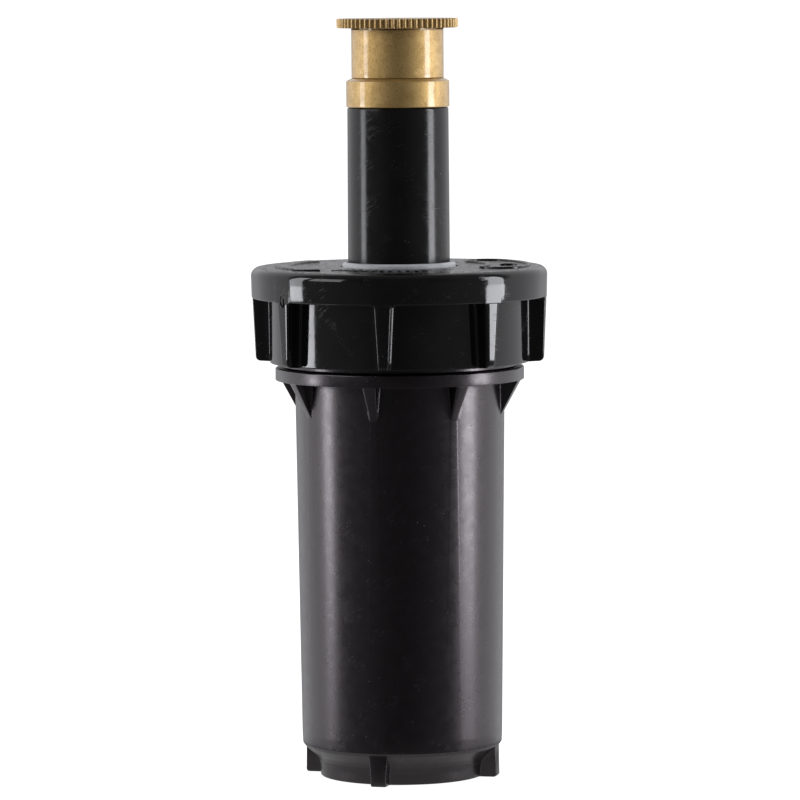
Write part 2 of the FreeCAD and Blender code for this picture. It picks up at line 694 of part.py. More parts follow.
def make_nozzle_trim():
    """Rings round the stem and the washer under the filter."""
    o_ring("sleeve_o_ring", "stem_radius - 0.23", "ring_wire", "ring_groove + 0.5")
    snap = new_body("sleeve_snap_ring")
    turned(snap, "ring", [
        ("stem_radius - 0.3", "snap_groove + 0.1"),
        ("sleeve_bore + 0.2", "snap_groove + 0.1"),
        ("sleeve_bore + 0.2", "snap_groove + snap_height - 0.1"),
        ("stem_radius - 0.3", "snap_groove + snap_height - 0.1"),
    ], arc="330")
    washer = new_body("nozzle_washer")
    turned(washer, "ring", [
        ("spout_bore", "spout_top"),
        ("spout_radius + 0.4", "spout_top"),
        ("spout_radius + 0.4", "spout_top + 0.7"),
        ("spout_bore", "spout_top + 0.7"),
    ])


def make_filter():
    """The filter: a moulded cup and cage, and the mesh that the cage holds."""
    frame = new_body("filter_frame")
    turned(frame, "cup", [
        ("cup_bore", "stem_shelf"),
        ("spout_radius + 0.4", "stem_shelf"),
        ("spout_radius + 0.4", "spout_top + 0.7"),
        ("cup_radius", "spout_top + 0.7"),
        ("cup_radius", "cup_bottom"),
        ("outlet_radius", "cup_bottom"),
        ("outlet_radius", "cup_bottom + 0.9"),
        ("cup_bore", "cup_bottom + 0.9"),
    ])
    bar = ("mesh_radius + 0.02", "mesh_radius + bar_depth", "1.1")
    wedges(frame, "bar", [("filter_bottom", *bar), ("cup_bottom + 0.1", *bar)], 6)
    turned(frame, "floor", [
        ("0", "filter_bottom"),
        ("mesh_radius + bar_depth", "filter_bottom"),
        ("mesh_radius + bar_depth", "filter_bottom + 1.6"),
        ("0", "filter_bottom + 1.6"),
    ])
    mesh = new_body("filter_mesh")
    turned(mesh, "tube", [
        ("mesh_radius - mesh_wall", "filter_bottom + 1.6"),
        ("mesh_radius", "filter_bottom + 1.6"),
        ("mesh_radius", "cup_bottom"),
        ("mesh_radius - mesh_wall", "cup_bottom"),
    ])


def make_flow_control():
    """The flow screw, its O-ring, and the throttle disc that snaps on its tip."""
    screw = new_body("flow_screw")
    turned(screw, "shank", [
        ("0", "head_top"),
        ("head_radius", "head_top"),
        ("head_radius", "head_bottom + 1.35"),
        ("head_radius - 0.5", "head_bottom + 1.35"),
        ("head_radius - 0.5", "head_bottom + 0.5"),
        ("head_radius", "head_bottom + 0.5"),
        ("head_radius", "head_bottom"),
        ("shank_radius", "head_bottom"),
        ("shank_radius", "throttle_bottom + throttle_height + 0.05"),
        ("neck_below", "throttle_bottom + throttle_height + 0.05"),
        ("neck_below", "throttle_bottom"),
        ("1.05", "throttle_bottom - 0.05"),
        ("0.6", "screw_tip"),
        ("0", "screw_tip"),
    ])
    slot = ("-head_radius - 1", "head_radius + 1", "0.7")
    wedges(screw, "driver_slot", [("head_top - 0.6", *slot), ("head_top + 1", *slot)], 1, "25", cut=True)
    ridge(screw, "thread", "shank_radius", "shank_radius + 0.27", "stem_shelf - 0.3", "screw_pitch * 9",
          "screw_pitch")
    o_ring("screw_o_ring", "head_radius - 0.1", "screw_ring_wire", "head_bottom + 0.92")
    throttle = new_body("throttle_disc")
    turned(throttle, "disc", [
        ("neck_below + 0.05", "throttle_bottom"),
        ("outlet_radius - 0.4", "throttle_bottom"),
        ("throttle_radius", "throttle_bottom + 0.6"),
        ("throttle_radius", "throttle_bottom + throttle_height"),
        ("neck_below + 0.05", "throttle_bottom + throttle_height"),
    ])


def write_nodes():
    """Checks every object and writes each node's shape to its own file."""
    doc.recompute()
    bad = [o.Label for o in doc.Objects if {"Invalid", "Error"} & set(o.State)]
    bad += [n.Label for n in nodes if n.Shape.isNull() or not n.Shape.isValid() or not n.Shape.Solids]
    if bad:
        raise RuntimeError(f"these objects failed: {bad}")
    os.makedirs("parts", exist_ok=True)
    for node in nodes:
        node.Shape.exportStep(f"parts/{node.Label}.step")
        print(node.Label, len(node.Shape.Solids), round(node.Shape.Volume, 2))


make_sheet()
make_case()
make_cap()
make_under_cap()
make_spring()
make_ratchet_ring()
make_riser()
make_nozzle_base()
make_arc_sleeve()
make_nozzle_trim()
make_filter()
make_flow_control()
write_nodes()
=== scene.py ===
"""Looks for a pop-up spray sprinkler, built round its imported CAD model.

Frame: the CAD model's own, origin on the head's axis in the plane of the foot, +Z up and -Y the
front. Sizes in the classes are in millimetres and angles in degrees, counted from +X; meshes are in
metres. The outer pieces and the spring are surfaces of revolution or sections carried along a path,
worked out on a grid. The other inner pieces keep their CAD shapes and get a finish.
"""

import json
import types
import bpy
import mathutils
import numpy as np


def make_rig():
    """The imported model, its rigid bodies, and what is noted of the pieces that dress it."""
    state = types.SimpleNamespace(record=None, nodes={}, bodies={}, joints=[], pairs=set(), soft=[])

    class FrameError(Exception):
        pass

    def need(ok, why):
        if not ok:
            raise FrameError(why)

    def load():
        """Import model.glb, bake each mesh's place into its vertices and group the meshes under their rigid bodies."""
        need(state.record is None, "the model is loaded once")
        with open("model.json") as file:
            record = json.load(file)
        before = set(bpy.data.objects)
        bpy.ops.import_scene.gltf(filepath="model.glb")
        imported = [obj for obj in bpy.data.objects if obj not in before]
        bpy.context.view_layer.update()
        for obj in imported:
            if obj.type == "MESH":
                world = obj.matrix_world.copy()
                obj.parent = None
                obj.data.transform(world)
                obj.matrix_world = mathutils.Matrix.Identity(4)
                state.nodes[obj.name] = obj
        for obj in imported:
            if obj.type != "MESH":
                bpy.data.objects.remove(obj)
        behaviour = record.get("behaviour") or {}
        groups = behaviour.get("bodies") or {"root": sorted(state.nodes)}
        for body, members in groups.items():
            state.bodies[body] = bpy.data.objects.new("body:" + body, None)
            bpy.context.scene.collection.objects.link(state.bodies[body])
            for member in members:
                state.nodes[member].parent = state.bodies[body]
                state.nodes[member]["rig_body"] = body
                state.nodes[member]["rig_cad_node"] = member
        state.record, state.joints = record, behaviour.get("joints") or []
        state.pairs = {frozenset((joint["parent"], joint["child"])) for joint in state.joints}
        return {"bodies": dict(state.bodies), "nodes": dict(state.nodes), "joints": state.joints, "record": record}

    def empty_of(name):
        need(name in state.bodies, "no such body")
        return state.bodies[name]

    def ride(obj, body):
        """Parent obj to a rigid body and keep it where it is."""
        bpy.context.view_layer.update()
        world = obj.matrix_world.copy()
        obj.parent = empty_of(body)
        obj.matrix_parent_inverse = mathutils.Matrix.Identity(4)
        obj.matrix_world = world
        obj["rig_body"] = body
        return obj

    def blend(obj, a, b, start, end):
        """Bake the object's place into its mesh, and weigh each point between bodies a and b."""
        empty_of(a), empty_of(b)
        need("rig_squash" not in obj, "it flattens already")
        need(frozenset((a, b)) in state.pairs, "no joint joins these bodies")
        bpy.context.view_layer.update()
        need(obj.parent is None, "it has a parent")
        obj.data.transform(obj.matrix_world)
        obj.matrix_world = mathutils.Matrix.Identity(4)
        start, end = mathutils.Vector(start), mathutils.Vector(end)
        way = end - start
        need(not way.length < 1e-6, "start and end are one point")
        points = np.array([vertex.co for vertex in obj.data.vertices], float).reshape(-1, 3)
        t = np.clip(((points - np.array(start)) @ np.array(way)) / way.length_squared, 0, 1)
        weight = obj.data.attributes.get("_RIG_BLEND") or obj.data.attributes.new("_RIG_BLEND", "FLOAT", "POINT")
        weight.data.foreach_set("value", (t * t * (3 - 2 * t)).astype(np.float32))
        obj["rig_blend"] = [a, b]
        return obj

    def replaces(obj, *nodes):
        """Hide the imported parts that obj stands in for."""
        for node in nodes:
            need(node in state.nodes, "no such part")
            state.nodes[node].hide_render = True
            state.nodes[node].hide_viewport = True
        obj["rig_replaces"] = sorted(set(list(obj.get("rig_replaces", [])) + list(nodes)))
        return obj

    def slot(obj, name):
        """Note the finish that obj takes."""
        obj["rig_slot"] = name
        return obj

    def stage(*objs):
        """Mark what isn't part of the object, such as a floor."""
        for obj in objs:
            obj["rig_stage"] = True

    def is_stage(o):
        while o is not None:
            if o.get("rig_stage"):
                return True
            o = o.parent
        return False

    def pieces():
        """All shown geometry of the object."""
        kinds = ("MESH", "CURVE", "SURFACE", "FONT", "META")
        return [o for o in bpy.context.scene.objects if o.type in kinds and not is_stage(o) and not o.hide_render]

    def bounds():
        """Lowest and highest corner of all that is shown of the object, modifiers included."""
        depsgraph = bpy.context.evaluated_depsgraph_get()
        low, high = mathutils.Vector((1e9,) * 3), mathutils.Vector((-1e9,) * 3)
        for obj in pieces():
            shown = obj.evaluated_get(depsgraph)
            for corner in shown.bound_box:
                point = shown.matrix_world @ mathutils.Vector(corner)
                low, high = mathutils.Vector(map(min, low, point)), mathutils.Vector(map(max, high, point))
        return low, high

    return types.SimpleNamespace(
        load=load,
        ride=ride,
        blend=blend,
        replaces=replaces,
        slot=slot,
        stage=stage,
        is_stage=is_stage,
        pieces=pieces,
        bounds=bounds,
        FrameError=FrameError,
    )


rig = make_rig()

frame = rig.load()
CAD_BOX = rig.bounds()

import json
import logging
import math
from dataclasses import dataclass, field
from enum import Enum
from typing import Any, Callable, Sequence

import bpy
import numpy as np
from mathutils import Matrix

Array = np.ndarray
Alter = Callable[[Array, Array, Array], tuple[Array, Array]]
Colour = tuple[float, float, float]

MM = 0.001
SIZE_FILE = "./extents.json"
WHITE: Colour = (1.0, 1.0, 1.0)

# Rounded corners: least distance of an arc's end from its corner, steps along an arc, and the
# largest share of a run, or of a rib's height, that one rounding takes.
SMALLEST_REACH = 0.03
ARC_STEPS = 5
LARGEST_SHARE = 0.45

# Ribs: points along a rounded edge or root, and the least radius that a rib's width is laid out at.
BEND_POINTS = 4
SMALLEST_RIB_RADIUS = 12.0

# Thread ridges: half the foot and the run of a flank as shares of the pitch, the length over which
# an end fades, and how near to the wall a point lies that belongs to it.
RIDGE_FOOT = 0.38
RIDGE_FLANK = 0.28
RIDGE_FADE = 0.8
ON_WALL = 0.02

# Width, as a sine, over which the front half's features fade out at its two ends.
FRONT_EDGE = 0.02

# Half section of a raised mark, in half widths and heights.
MARK_OUTLINE = np.array([
    [-1.0, 0.0], [-1.0, 0.45], [-0.93, 0.8], [-0.75, 1.0],
    [0.75, 1.0], [0.93, 0.8], [1.0, 0.45], [1.0, 0.0],
])

log = logging.getLogger("sprinkler")


class Body(Enum):
    """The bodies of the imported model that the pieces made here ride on."""

    HEAD = "head"
    RATCHET = "ratchet"
    RISER = "riser"
    SLEEVE = "sleeve"


class Slot(Enum):
    """The record's material slots."""

    CASE_PLASTIC = "case_plastic"
    GLOSS_PLASTIC = "gloss_plastic"
    SEAL_RUBBER = "seal_rubber"
    BLACK_RUBBER = "black_rubber"
    ACETAL = "acetal"
    SPRING_STEEL = "spring_steel"
    BRASS = "brass"
    FILTER_PLASTIC = "filter_plastic"
    FILTER_MESH = "filter_mesh"


class Meridian(Enum):
    """Which half section of a ribbed piece is meant."""

    WALL = "between ribs"
    MAIN_RIB = "through a rib of the main set"
    MINOR_RIB = "through a rib between two of the main set"


# ---- shapes --------------------------------------------------------------------------------------

@dataclass(frozen=True)
class Corner:
    """A corner of a half section: where it is between ribs, and where it is on a rib.

    Attributes:
        r: distance from the axis.
        z: height.
        fillet: rounding of the corner.
        cuts: equal parts that the run to the next corner is divided into.
        rib: distance from the axis and height on a rib, or None where the ribs add nothing.
        rib_fillet: rounding of the corner on a rib.
        width: the rib's width here.
        main_only: the rib is there only on the ribs of the main set.
    """

    r: float
    z: float
    fillet: float = 0.1
    cuts: int = 1
    rib: tuple[float, float] | None = None
    rib_fillet: float = 0.1
    width: float = 2.0
    main_only: bool = False

    def at(self, kind: Meridian) -> tuple[float, float, float, float]:
        """The corner's radius, height, rib width and fillet on one kind of half section.

        Args:
            kind: which half section.

        Returns:
            Radius, height, rib width and fillet.
        """
        ribbed = kind is Meridian.MAIN_RIB or (kind is Meridian.MINOR_RIB and not self.main_only)
        if self.rib is None or not ribbed:
            return self.r, self.z, self.width, self.fillet
        return self.rib[0], self.rib[1], self.width, self.rib_fillet


def half_section(corners: Sequence[Corner], kind: Meridian = Meridian.WALL) -> Array:
    """Rows of a closed half section with rounded corners.

    At a corner P with the arc's ends A and C, the arc is the rational curve
    ((1-t)^2 A + 2t(1-t)w P + t^2 C) / ((1-t)^2 + 2t(1-t)w + t^2), with w the cosine of half the
    turn. A and C lie tan(half the turn) times the fillet from P, on the two straight runs.

    Args:
        corners: the corners in order round the section.
        kind: which half section of a ribbed piece.

    Returns:
        Rows of (radius, height, rib width).
    """
    placed = np.array([corner.at(kind) for corner in corners])
    place, fillet = placed[:, :3], placed[:, 3]
    back, ahead = np.roll(place, 1, axis=0) - place, np.roll(place, -1, axis=0) - place
    back_length = np.linalg.norm(back[:, :2], axis=1)
    ahead_length = np.linalg.norm(ahead[:, :2], axis=1)
    cosine = -np.sum(back[:, :2] * ahead[:, :2], axis=1) / (back_length * ahead_length)
    half_turn = np.arccos(np.clip(cosine, -1, 1)) / 2
    reach = np.maximum(fillet * np.tan(half_turn), SMALLEST_REACH)
    reach = np.minimum(reach, LARGEST_SHARE * np.minimum(back_length, ahead_length))
    start = place + back * (reach / back_length)[:, None]
    end = place + ahead * (reach / ahead_length)[:, None]
    t = np.linspace(0, 1, ARC_STEPS + 1)[None, :, None]
    pull = 2 * t * (1 - t) * np.cos(half_turn)[:, None, None]
    arcs = (1 - t) ** 2 * start[:, None] + pull * place[:, None] + t**2 * end[:, None]
    arcs = arcs / ((1 - t) ** 2 + pull + t**2)
    following = np.roll(start, -1, axis=0)
    rows = []
    for number, corner in enumerate(corners):
        share = (np.arange(1, corner.cuts) / corner.cuts)[:, None]
        rows += [arcs[number], end[number] + (following[number] - end[number]) * share]
    return np.concatenate(rows)


@dataclass
class Shell:
    """A closed surface in millimetres.

    Attributes:
        points: its vertices, (n, 3).
        quads: its four-sided faces, (m, 4).
        ends: polygons that close the ends of an open run.
    """

    points: Array
    quads: Array
    ends: list[Array] = field(default_factory=list)

    def volume(self) -> float:
        """Adds up a . (b x c) over the surface's triangles.

        Returns:
            Six times the volume enclosed, negative where the faces point inwards.
        """
        fans = [np.column_stack([np.full(len(e) - 2, e[0]), e[1:-1], e[2:]]) for e in self.ends]
        faces = np.concatenate([self.quads[:, [0, 1, 2]], self.quads[:, [0, 2, 3]], *fans])
        a, b, c = (self.points[faces[:, side]] for side in range(3))
        return float(np.sum(a * np.cross(b, c)))

    def faces(self, offset: int) -> list[list[int]]:
        """Faces that point outwards, with offset added to each vertex number.

        Args:
            offset: number of the first vertex in the mesh.

        Returns:
            The vertex numbers of each face.
        """
        step = 1 if self.volume() > 0 else -1
        polygons = (self.quads[:, ::step] + offset).tolist()
        return polygons + [(end[::step] + offset).tolist() for end in self.ends]


def grid_shell(points: Array, ring: bool) -> Shell:
    """A surface over a grid whose columns always close on themselves.

    Args:
        points: (rows, columns, 3).
        ring: the rows close on themselves too; otherwise the first and last row are filled in.

    Returns:
        The closed surface.
    """
    rows, columns = points.shape[:2]
    number = np.arange(rows * columns).reshape(rows, columns)
    lower = number if ring else number[:-1]
    upper = np.roll(number, -1, axis=0) if ring else number[1:]
    right = np.roll(lower, -1, axis=1), np.roll(upper, -1, axis=1)
    quads = np.stack([lower, right[0], right[1], upper], axis=-1).reshape(-1, 4)
    ends = [] if ring else [number[0, ::-1], number[-1]]
    return Shell(points.reshape(-1, 3), quads, ends)


def about_axis(r: Array, z: Array, angle: Array) -> Array:
    """Points (r cos a, r sin a, z) for grids of radius, height and angle in radians."""
    return np.stack([r * np.cos(angle), r * np.sin(angle), z], axis=-1)


def turned_shell(corners: Sequence[Corner], columns: int, alter: Alter | None = None) -> Shell:
    """A half section turned about the axis: (r, z) of each row repeated at every angle.

    Args:
        corners: the half section.
        columns: how many angles.
        alter: changes the grids of radius and height, given those and the angles.

    Returns:
        The closed surface.
    """
    section = half_section(corners)
    angle = np.arange(columns)[None, :] * (2 * math.pi / columns)
    r, z, angle = np.broadcast_arrays(section[:, :1], section[:, 1:2], angle)
    if alter:
        r, z = alter(r, z, angle)
    return grid_shell(about_axis(r, z, angle), ring=True)


@dataclass(frozen=True)
class Ribs:
    """How ribs stand round a piece.

    Attributes:
        count: ribs round the axis; every second one belongs to the main set.
        first: angle of a rib of the main set.
        edge: rounding of a rib's outer edges.
        root: rounding where a rib meets the wall.
        between: columns of the grid from a rib's root to half way to the next rib.
    """

    count: int
    first: float
    edge: float
    root: float
    between: int = 9


def ribbed_shell(
    corners: Sequence[Corner],
    ribs: Ribs,
    swell: Callable[[Array], Array] | None = None,
    alter: Alter | None = None,
) -> Shell:
    """A turned wall with ribs, as one surface.

    A point is wall + k (rib - wall), where k falls from 1 on the rib's face to 0 on the wall. At
    the sideways distance x from the rib's middle, k follows a rounded edge, the rib's flank at half
    its width, and a rounded root. The angle is the rib's plus asin(x / r) on the rib, and runs
    evenly from there to half way to the next rib.

    Args:
        corners: the half section between and through the ribs.
        ribs: how the ribs stand.
        swell: how much the rib's half width grows, given the rib's half section.
        alter: changes the grids of radius and height, given those and the angles.

    Returns:
        The closed surface.
    """
    wall = half_section(corners)
    half_sector = math.pi / ribs.count
    bend = np.linspace(0, math.pi / 2, BEND_POINTS)[None, :]
    along = (np.arange(1, ribs.between + 1) / ribs.between)[None, :]
    grids = []
    for number in range(ribs.count):
        rib = half_section(corners, Meridian.MINOR_RIB if number % 2 else Meridian.MAIN_RIB)
        height = np.maximum(np.linalg.norm(rib[:, :2] - wall[:, :2], axis=1), 1e-6)[:, None]
        half_width = rib[:, 2:3] / 2 + (swell(rib)[:, None] if swell else 0.0)
        edge_share = np.minimum(ribs.edge / height, LARGEST_SHARE)
        root_share = np.minimum(ribs.root / height, LARGEST_SHARE)
        one = np.ones_like(height)
        x = np.concatenate([
            0 * one, (half_width - ribs.edge) / 2,
            half_width - ribs.edge * (1 - np.sin(bend)), half_width,
            half_width + ribs.root * (1 - np.cos(bend)),
        ], axis=1)
        k = np.concatenate([
            one, one, 1 - edge_share * (1 - np.cos(bend)), (1 - edge_share + root_share) / 2,
            root_share * (1 - np.sin(bend)),
        ], axis=1)
        r = wall[:, :1] + (rib[:, :1] - wall[:, :1]) * k
        z = wall[:, 1:2] + (rib[:, 1:2] - wall[:, 1:2]) * k
        angle = np.arcsin(x / np.maximum(r, SMALLEST_RIB_RADIUS))
        plain = angle[:, -1:] + (half_sector - angle[:, -1:]) * along
        r = np.concatenate([r, np.repeat(wall[:, :1], ribs.between, axis=1)], axis=1)
        z = np.concatenate([z, np.repeat(wall[:, 1:2], ribs.between, axis=1)], axis=1)
        angle = np.concatenate([angle, plain], axis=1)
        middle = math.radians(ribs.first) + 2 * half_sector * number
        grids.append(np.stack([
            np.concatenate([r[:, -2:0:-1], r], axis=1),
            np.concatenate([z[:, -2:0:-1], z], axis=1),
            np.concatenate([middle - angle[:, -2:0:-1], middle + angle], axis=1),
        ]))
    r, z, angle = np.concatenate(grids, axis=2)
    if alter:
        r, z = alter(r, z, angle)
    return grid_shell(about_axis(r, z, angle), ring=True)


def carried_shell(path: Array, across: Array, up: Array, section: Array, closed: bool) -> Shell:
    """A section carried along a path: path(u) + across(u) section_x(u, v) + up(u) section_y(u, v).

    Args:
        path: (n, 3) points.
        across: (n, 3) directions of the section's x.
        up: (n, 3) directions of the section's y.
        section: (n, m, 2), the section at each point of the path.
        closed: the path ends where it starts.

    Returns:
        The closed surface.
    """
    points = path[:, None] + across[:, None] * section[..., :1] + up[:, None] * section[..., 1:]
    return grid_shell(points, ring=closed)


def along_path(path: Array, closed: bool) -> Array:
    """Unit directions along a path, from the differences of the points on both sides.

    Args:
        path: (n, k) points.
        closed: the path ends where it starts.

    Returns:
        The (n, k) directions.
    """
    if closed:
        ahead = np.roll(path, -1, axis=0) - np.roll(path, 1, axis=0)
    else:
        ahead = np.gradient(path, axis=0)
    return ahead / np.linalg.norm(ahead, axis=1, keepdims=True)


def wire_shell(path: Array, angle: Array, radius: float, sides: int, closed: bool) -> Shell:
    """A round wire: path(u) + w cos(v) outward(u) + w sin(v) (outward x ahead)(u).

    Args:
        path: (n, 3) middle line.
        angle: (n,) angles about the axis of the path's points, in radians.
        radius: the wire's, w.
        sides: points round the wire.
        closed: the path ends where it starts.

    Returns:
        The closed surface.
    """
    outward = about_axis(np.ones_like(angle), np.zeros_like(angle), angle)
    up = np.cross(outward, along_path(path, closed))
    around = np.linspace(0, 2 * math.pi, sides, endpoint=False)
    circle = np.stack([np.cos(around), np.sin(around)], axis=-1) * radius
    return carried_shell(path, outward, up, np.broadcast_to(circle, (len(path), sides, 2)), closed)


def raised_mark(
    path: Array, half_width: Array, bottom: float, height: float, closed: bool
) -> Shell:
    """A raised line with steep sides and rounded shoulders, moulded on a level face.

    Across the line at u, the section goes from (-w, 0) over (-0.75 w, h) and (0.75 w, h) to (w, 0).

    Args:
        path: (n, 2) middle line.
        half_width: (n,) half the line's width at its foot.
        bottom: height of the line's foot.
        height: how far the line stands up.
        closed: the line ends where it starts.

    Returns:
        The closed surface.
    """
    middle = np.column_stack([path, np.full(len(path), bottom)])
    ahead = along_path(middle, closed)
    up = np.broadcast_to(np.array([0.0, 0.0, 1.0]), middle.shape)
    wide = MARK_OUTLINE[None, :, 0] * half_width[:, None]
    section = np.stack([wide, np.broadcast_to(MARK_OUTLINE[:, 1] * height, wide.shape)], axis=-1)
    return carried_shell(middle, np.cross(ahead, up), up, section, closed)


def on_circle(radius: float | Array, degrees: Array) -> Array:
    """Points at a radius and angles about the axis, (n, 2)."""
    angle = np.radians(degrees)
    return np.stack([radius * np.cos(angle), radius * np.sin(angle)], axis=-1)


@dataclass(frozen=True)
class Thread:
    """A helical ridge with sloping flanks.

    Attributes:
        radius: wall that the ridge stands on.
        depth: how far the ridge stands out, negative for inwards.
        pitch: rise in one turn.
        start: height of the ridge's middle at angle zero.
        low: height where the ridge fades in.
        high: height where it fades out.
    """

    radius: float
    depth: float
    pitch: float
    start: float
    low: float
    high: float

    def apply(self, r: Array, z: Array, angle: Array) -> Array:
        """Radius with the ridge added where r lies on the wall.

        With d the distance along the axis from the nearest turn of the helix
        z = start + pitch a / 2 pi, the ridge is depth clip((foot - |d|) / flank, 0, 1), with foot
        and flank as shares of the pitch. It fades at both ends.

        Args:
            r: grid of radius.
            z: grid of height.
            angle: grid of angle in radians.

        Returns:
            The changed grid of radius.
        """
        turn = (z - self.start) / self.pitch - angle / (2 * math.pi)
        distance = np.abs(turn - np.round(turn)) * self.pitch
        ridge = (RIDGE_FOOT * self.pitch - distance) / (RIDGE_FLANK * self.pitch)
        ridge = np.clip(ridge, 0, 1)
        fade_in = np.clip((z - self.low) / RIDGE_FADE, 0, 1)
        fade = fade_in * np.clip((self.high - z) / RIDGE_FADE, 0, 1)
        return r + np.where(np.abs(r - self.radius) < ON_WALL, self.depth * ridge * fade, 0.0)


def front_half(angle: Array) -> Array:
    """1 over the front half, -Y, and 0 over the back, as clip(0.5 - sin(a) / edge, 0, 1)."""
    return np.clip(0.5 - np.sin(angle) / FRONT_EDGE, 0, 1)


# ---- node sheets and finishes --------------------------------------------------------------------

Socket = bpy.types.NodeSocket


class NodeSheet:
    """A node tree, with short calls for what the finishes and the room need."""

    def __init__(self, tree: bpy.types.NodeTree) -> None:
        """Starts with an empty tree."""
        self.tree = tree
        self.tree.nodes.clear()

    def add(self, kind: str, inputs: dict[str | int, Any], **settings: Any) -> bpy.types.Node:
        """Adds a node.

        Args:
            kind: Blender's name for the node type.
            inputs: a socket or a constant for each named or numbered input.
            **settings: the node's own properties.

        Returns:
            The node.
        """
        node = self.tree.nodes.new(kind)
        for key, setting in settings.items():
            setattr(node, key, setting)
        for key, given in inputs.items():
            if isinstance(given, Socket):
                self.tree.links.new(given, node.inputs[key])
            else:
                node.inputs[key].default_value = given
        return node

    def math(self, operation: str, a: Any, b: Any = 0.0) -> Socket:
        """The result of a Math node."""
        return self.add("ShaderNodeMath", {0: a, 1: b}, operation=operation).outputs[0]

    def spread(
        self, given: Socket, low: float, high: float, to_low: float = 0.0, to_high: float = 1.0
    ) -> Socket:
        """Takes low..high to to_low..to_high, clamped.

        Args:
            given: the value.
            low: where it gives to_low.
            high: where it gives to_high.
            to_low: the result at low.
            to_high: the result at high.

        Returns:
            The result.
        """
        ends = {"From Min": low, "From Max": high, "To Min": to_low, "To Max": to_high}
        return self.add("ShaderNodeMapRange", {"Value": given, **ends}).outputs[0]

    def mix(self, share: Socket, first: Any, second: Any) -> Socket:
        """A colour between two, colours as sockets or red, green, blue."""
        inputs = {0: share, 6: self.opaque(first), 7: self.opaque(second)}
        return self.add("ShaderNodeMix", inputs, data_type="RGBA").outputs[2]

    @staticmethod
    def opaque(colour: Any) -> Any:
        """A colour with its alpha, or the socket as it is."""
        return colour if isinstance(colour, Socket) else (*colour, 1.0)


class FinishSheet(NodeSheet):
    """A material's nodes. Patterns are in millimetres on the piece's own coordinates."""

    def __init__(self, name: str) -> None:
        """Starts a material with a Principled shader and the piece's own coordinates.

        Args:
            name: the material's name.
        """
        self.material = bpy.data.materials.new(name)
        self.material.use_nodes = True
        super().__init__(self.material.node_tree)
        self.shader = self.add("ShaderNodeBsdfPrincipled", {})
        self.add("ShaderNodeOutputMaterial", {"Surface": self.shader.outputs[0]})
        place = self.add("ShaderNodeTexCoord", {}).outputs["Object"]
        self.place = self.scaled(place, (1 / MM, 1 / MM, 1 / MM))

    def scaled(self, vector: Socket, scale: Colour, turn: Colour = (0, 0, 0)) -> Socket:
        """Coordinates turned by angles in radians and then stretched."""
        turned = self.add("ShaderNodeMapping", {"Vector": vector, "Rotation": turn}).outputs[0]
        return self.add("ShaderNodeMapping", {"Vector": turned, "Scale": scale}).outputs[0]

    def noise(self, scale: float, detail: float = 3.0, place: Socket | None = None) -> Socket:
        """Soft noise about 0.5, with scale features a millimetre.

        Args:
            scale: features a millimetre.
            detail: how many finer layers it has.
            place: coordinates, or None for the piece's own.

        Returns:
            The noise.
        """
        inputs = {"Vector": place or self.place, "Scale": scale, "Detail": detail}
        return self.add("ShaderNodeTexNoise", {**inputs, "Roughness": 0.55}).outputs[0]

    def specks(self, scale: float, share: float, size: float) -> Socket:
        """1 in scattered specks, round the middle of a share of the cells.

        Args:
            scale: cells a millimetre.
            share: share of the cells that hold a speck.
            size: radius of a speck, in cells.

        Returns:
            The mask.
        """
        cells = self.add("ShaderNodeTexVoronoi", {"Vector": self.place, "Scale": scale})
        red = self.add("ShaderNodeSeparateColor", {0: cells.outputs["Color"]}).outputs[0]
        chosen = self.math("LESS_THAN", red, share)
        near = self.spread(cells.outputs["Distance"], size * 0.6, size, to_low=1.0, to_high=0.0)
        return self.math("MULTIPLY", chosen, near)

    def scratches(self, scale: Colour, turn: Colour, thin: float, patch: float) -> Socket:
        """1 along broken hair lines: where stretched noise passes 0.5, in patches.

        Args:
            scale: features a millimetre along each axis.
            turn: angles of the lines in radians.
            thin: half the width of the band about 0.5.
            patch: patches a millimetre.

        Returns:
            The mask.
        """
        lines = self.noise(1.0, detail=1.0, place=self.scaled(self.place, scale, turn))
        away = self.math("ABSOLUTE", self.math("SUBTRACT", lines, 0.5))
        line = self.spread(away, 0.0, thin, to_low=1.0, to_high=0.0)
        patches = self.spread(self.noise(patch, detail=2.0), 0.55, 0.62)
        return self.math("MULTIPLY", line, patches)

    def bump(self, height: Socket, micrometres: float, below: Socket | None = None) -> Socket:
        """A normal from a height of 0..1 that stands for a depth in micrometres.

        Args:
            height: the pattern.
            micrometres: its depth, negative for hollows.
            below: a normal that it adds to.

        Returns:
            The normal.
        """
        depth = micrometres * 1e-6
        inputs: dict[str | int, Any] = {"Height": height, "Distance": depth, "Strength": 1.0}
        if below is not None:
            inputs["Normal"] = below
        return self.add("ShaderNodeBump", inputs).outputs[0]

    def connect(self, **inputs: Any) -> bpy.types.Material:
        """Sets or links the shader's inputs, named with _ for a space, and returns the material.

        Args:
            **inputs: a socket or a constant for each input.

        Returns:
            The material.
        """
        for key, given in inputs.items():
            socket = self.shader.inputs[key.replace("_", " ")]
            if isinstance(given, Socket):
                self.tree.links.new(given, socket)
            else:
                socket.default_value = given
        return self.material


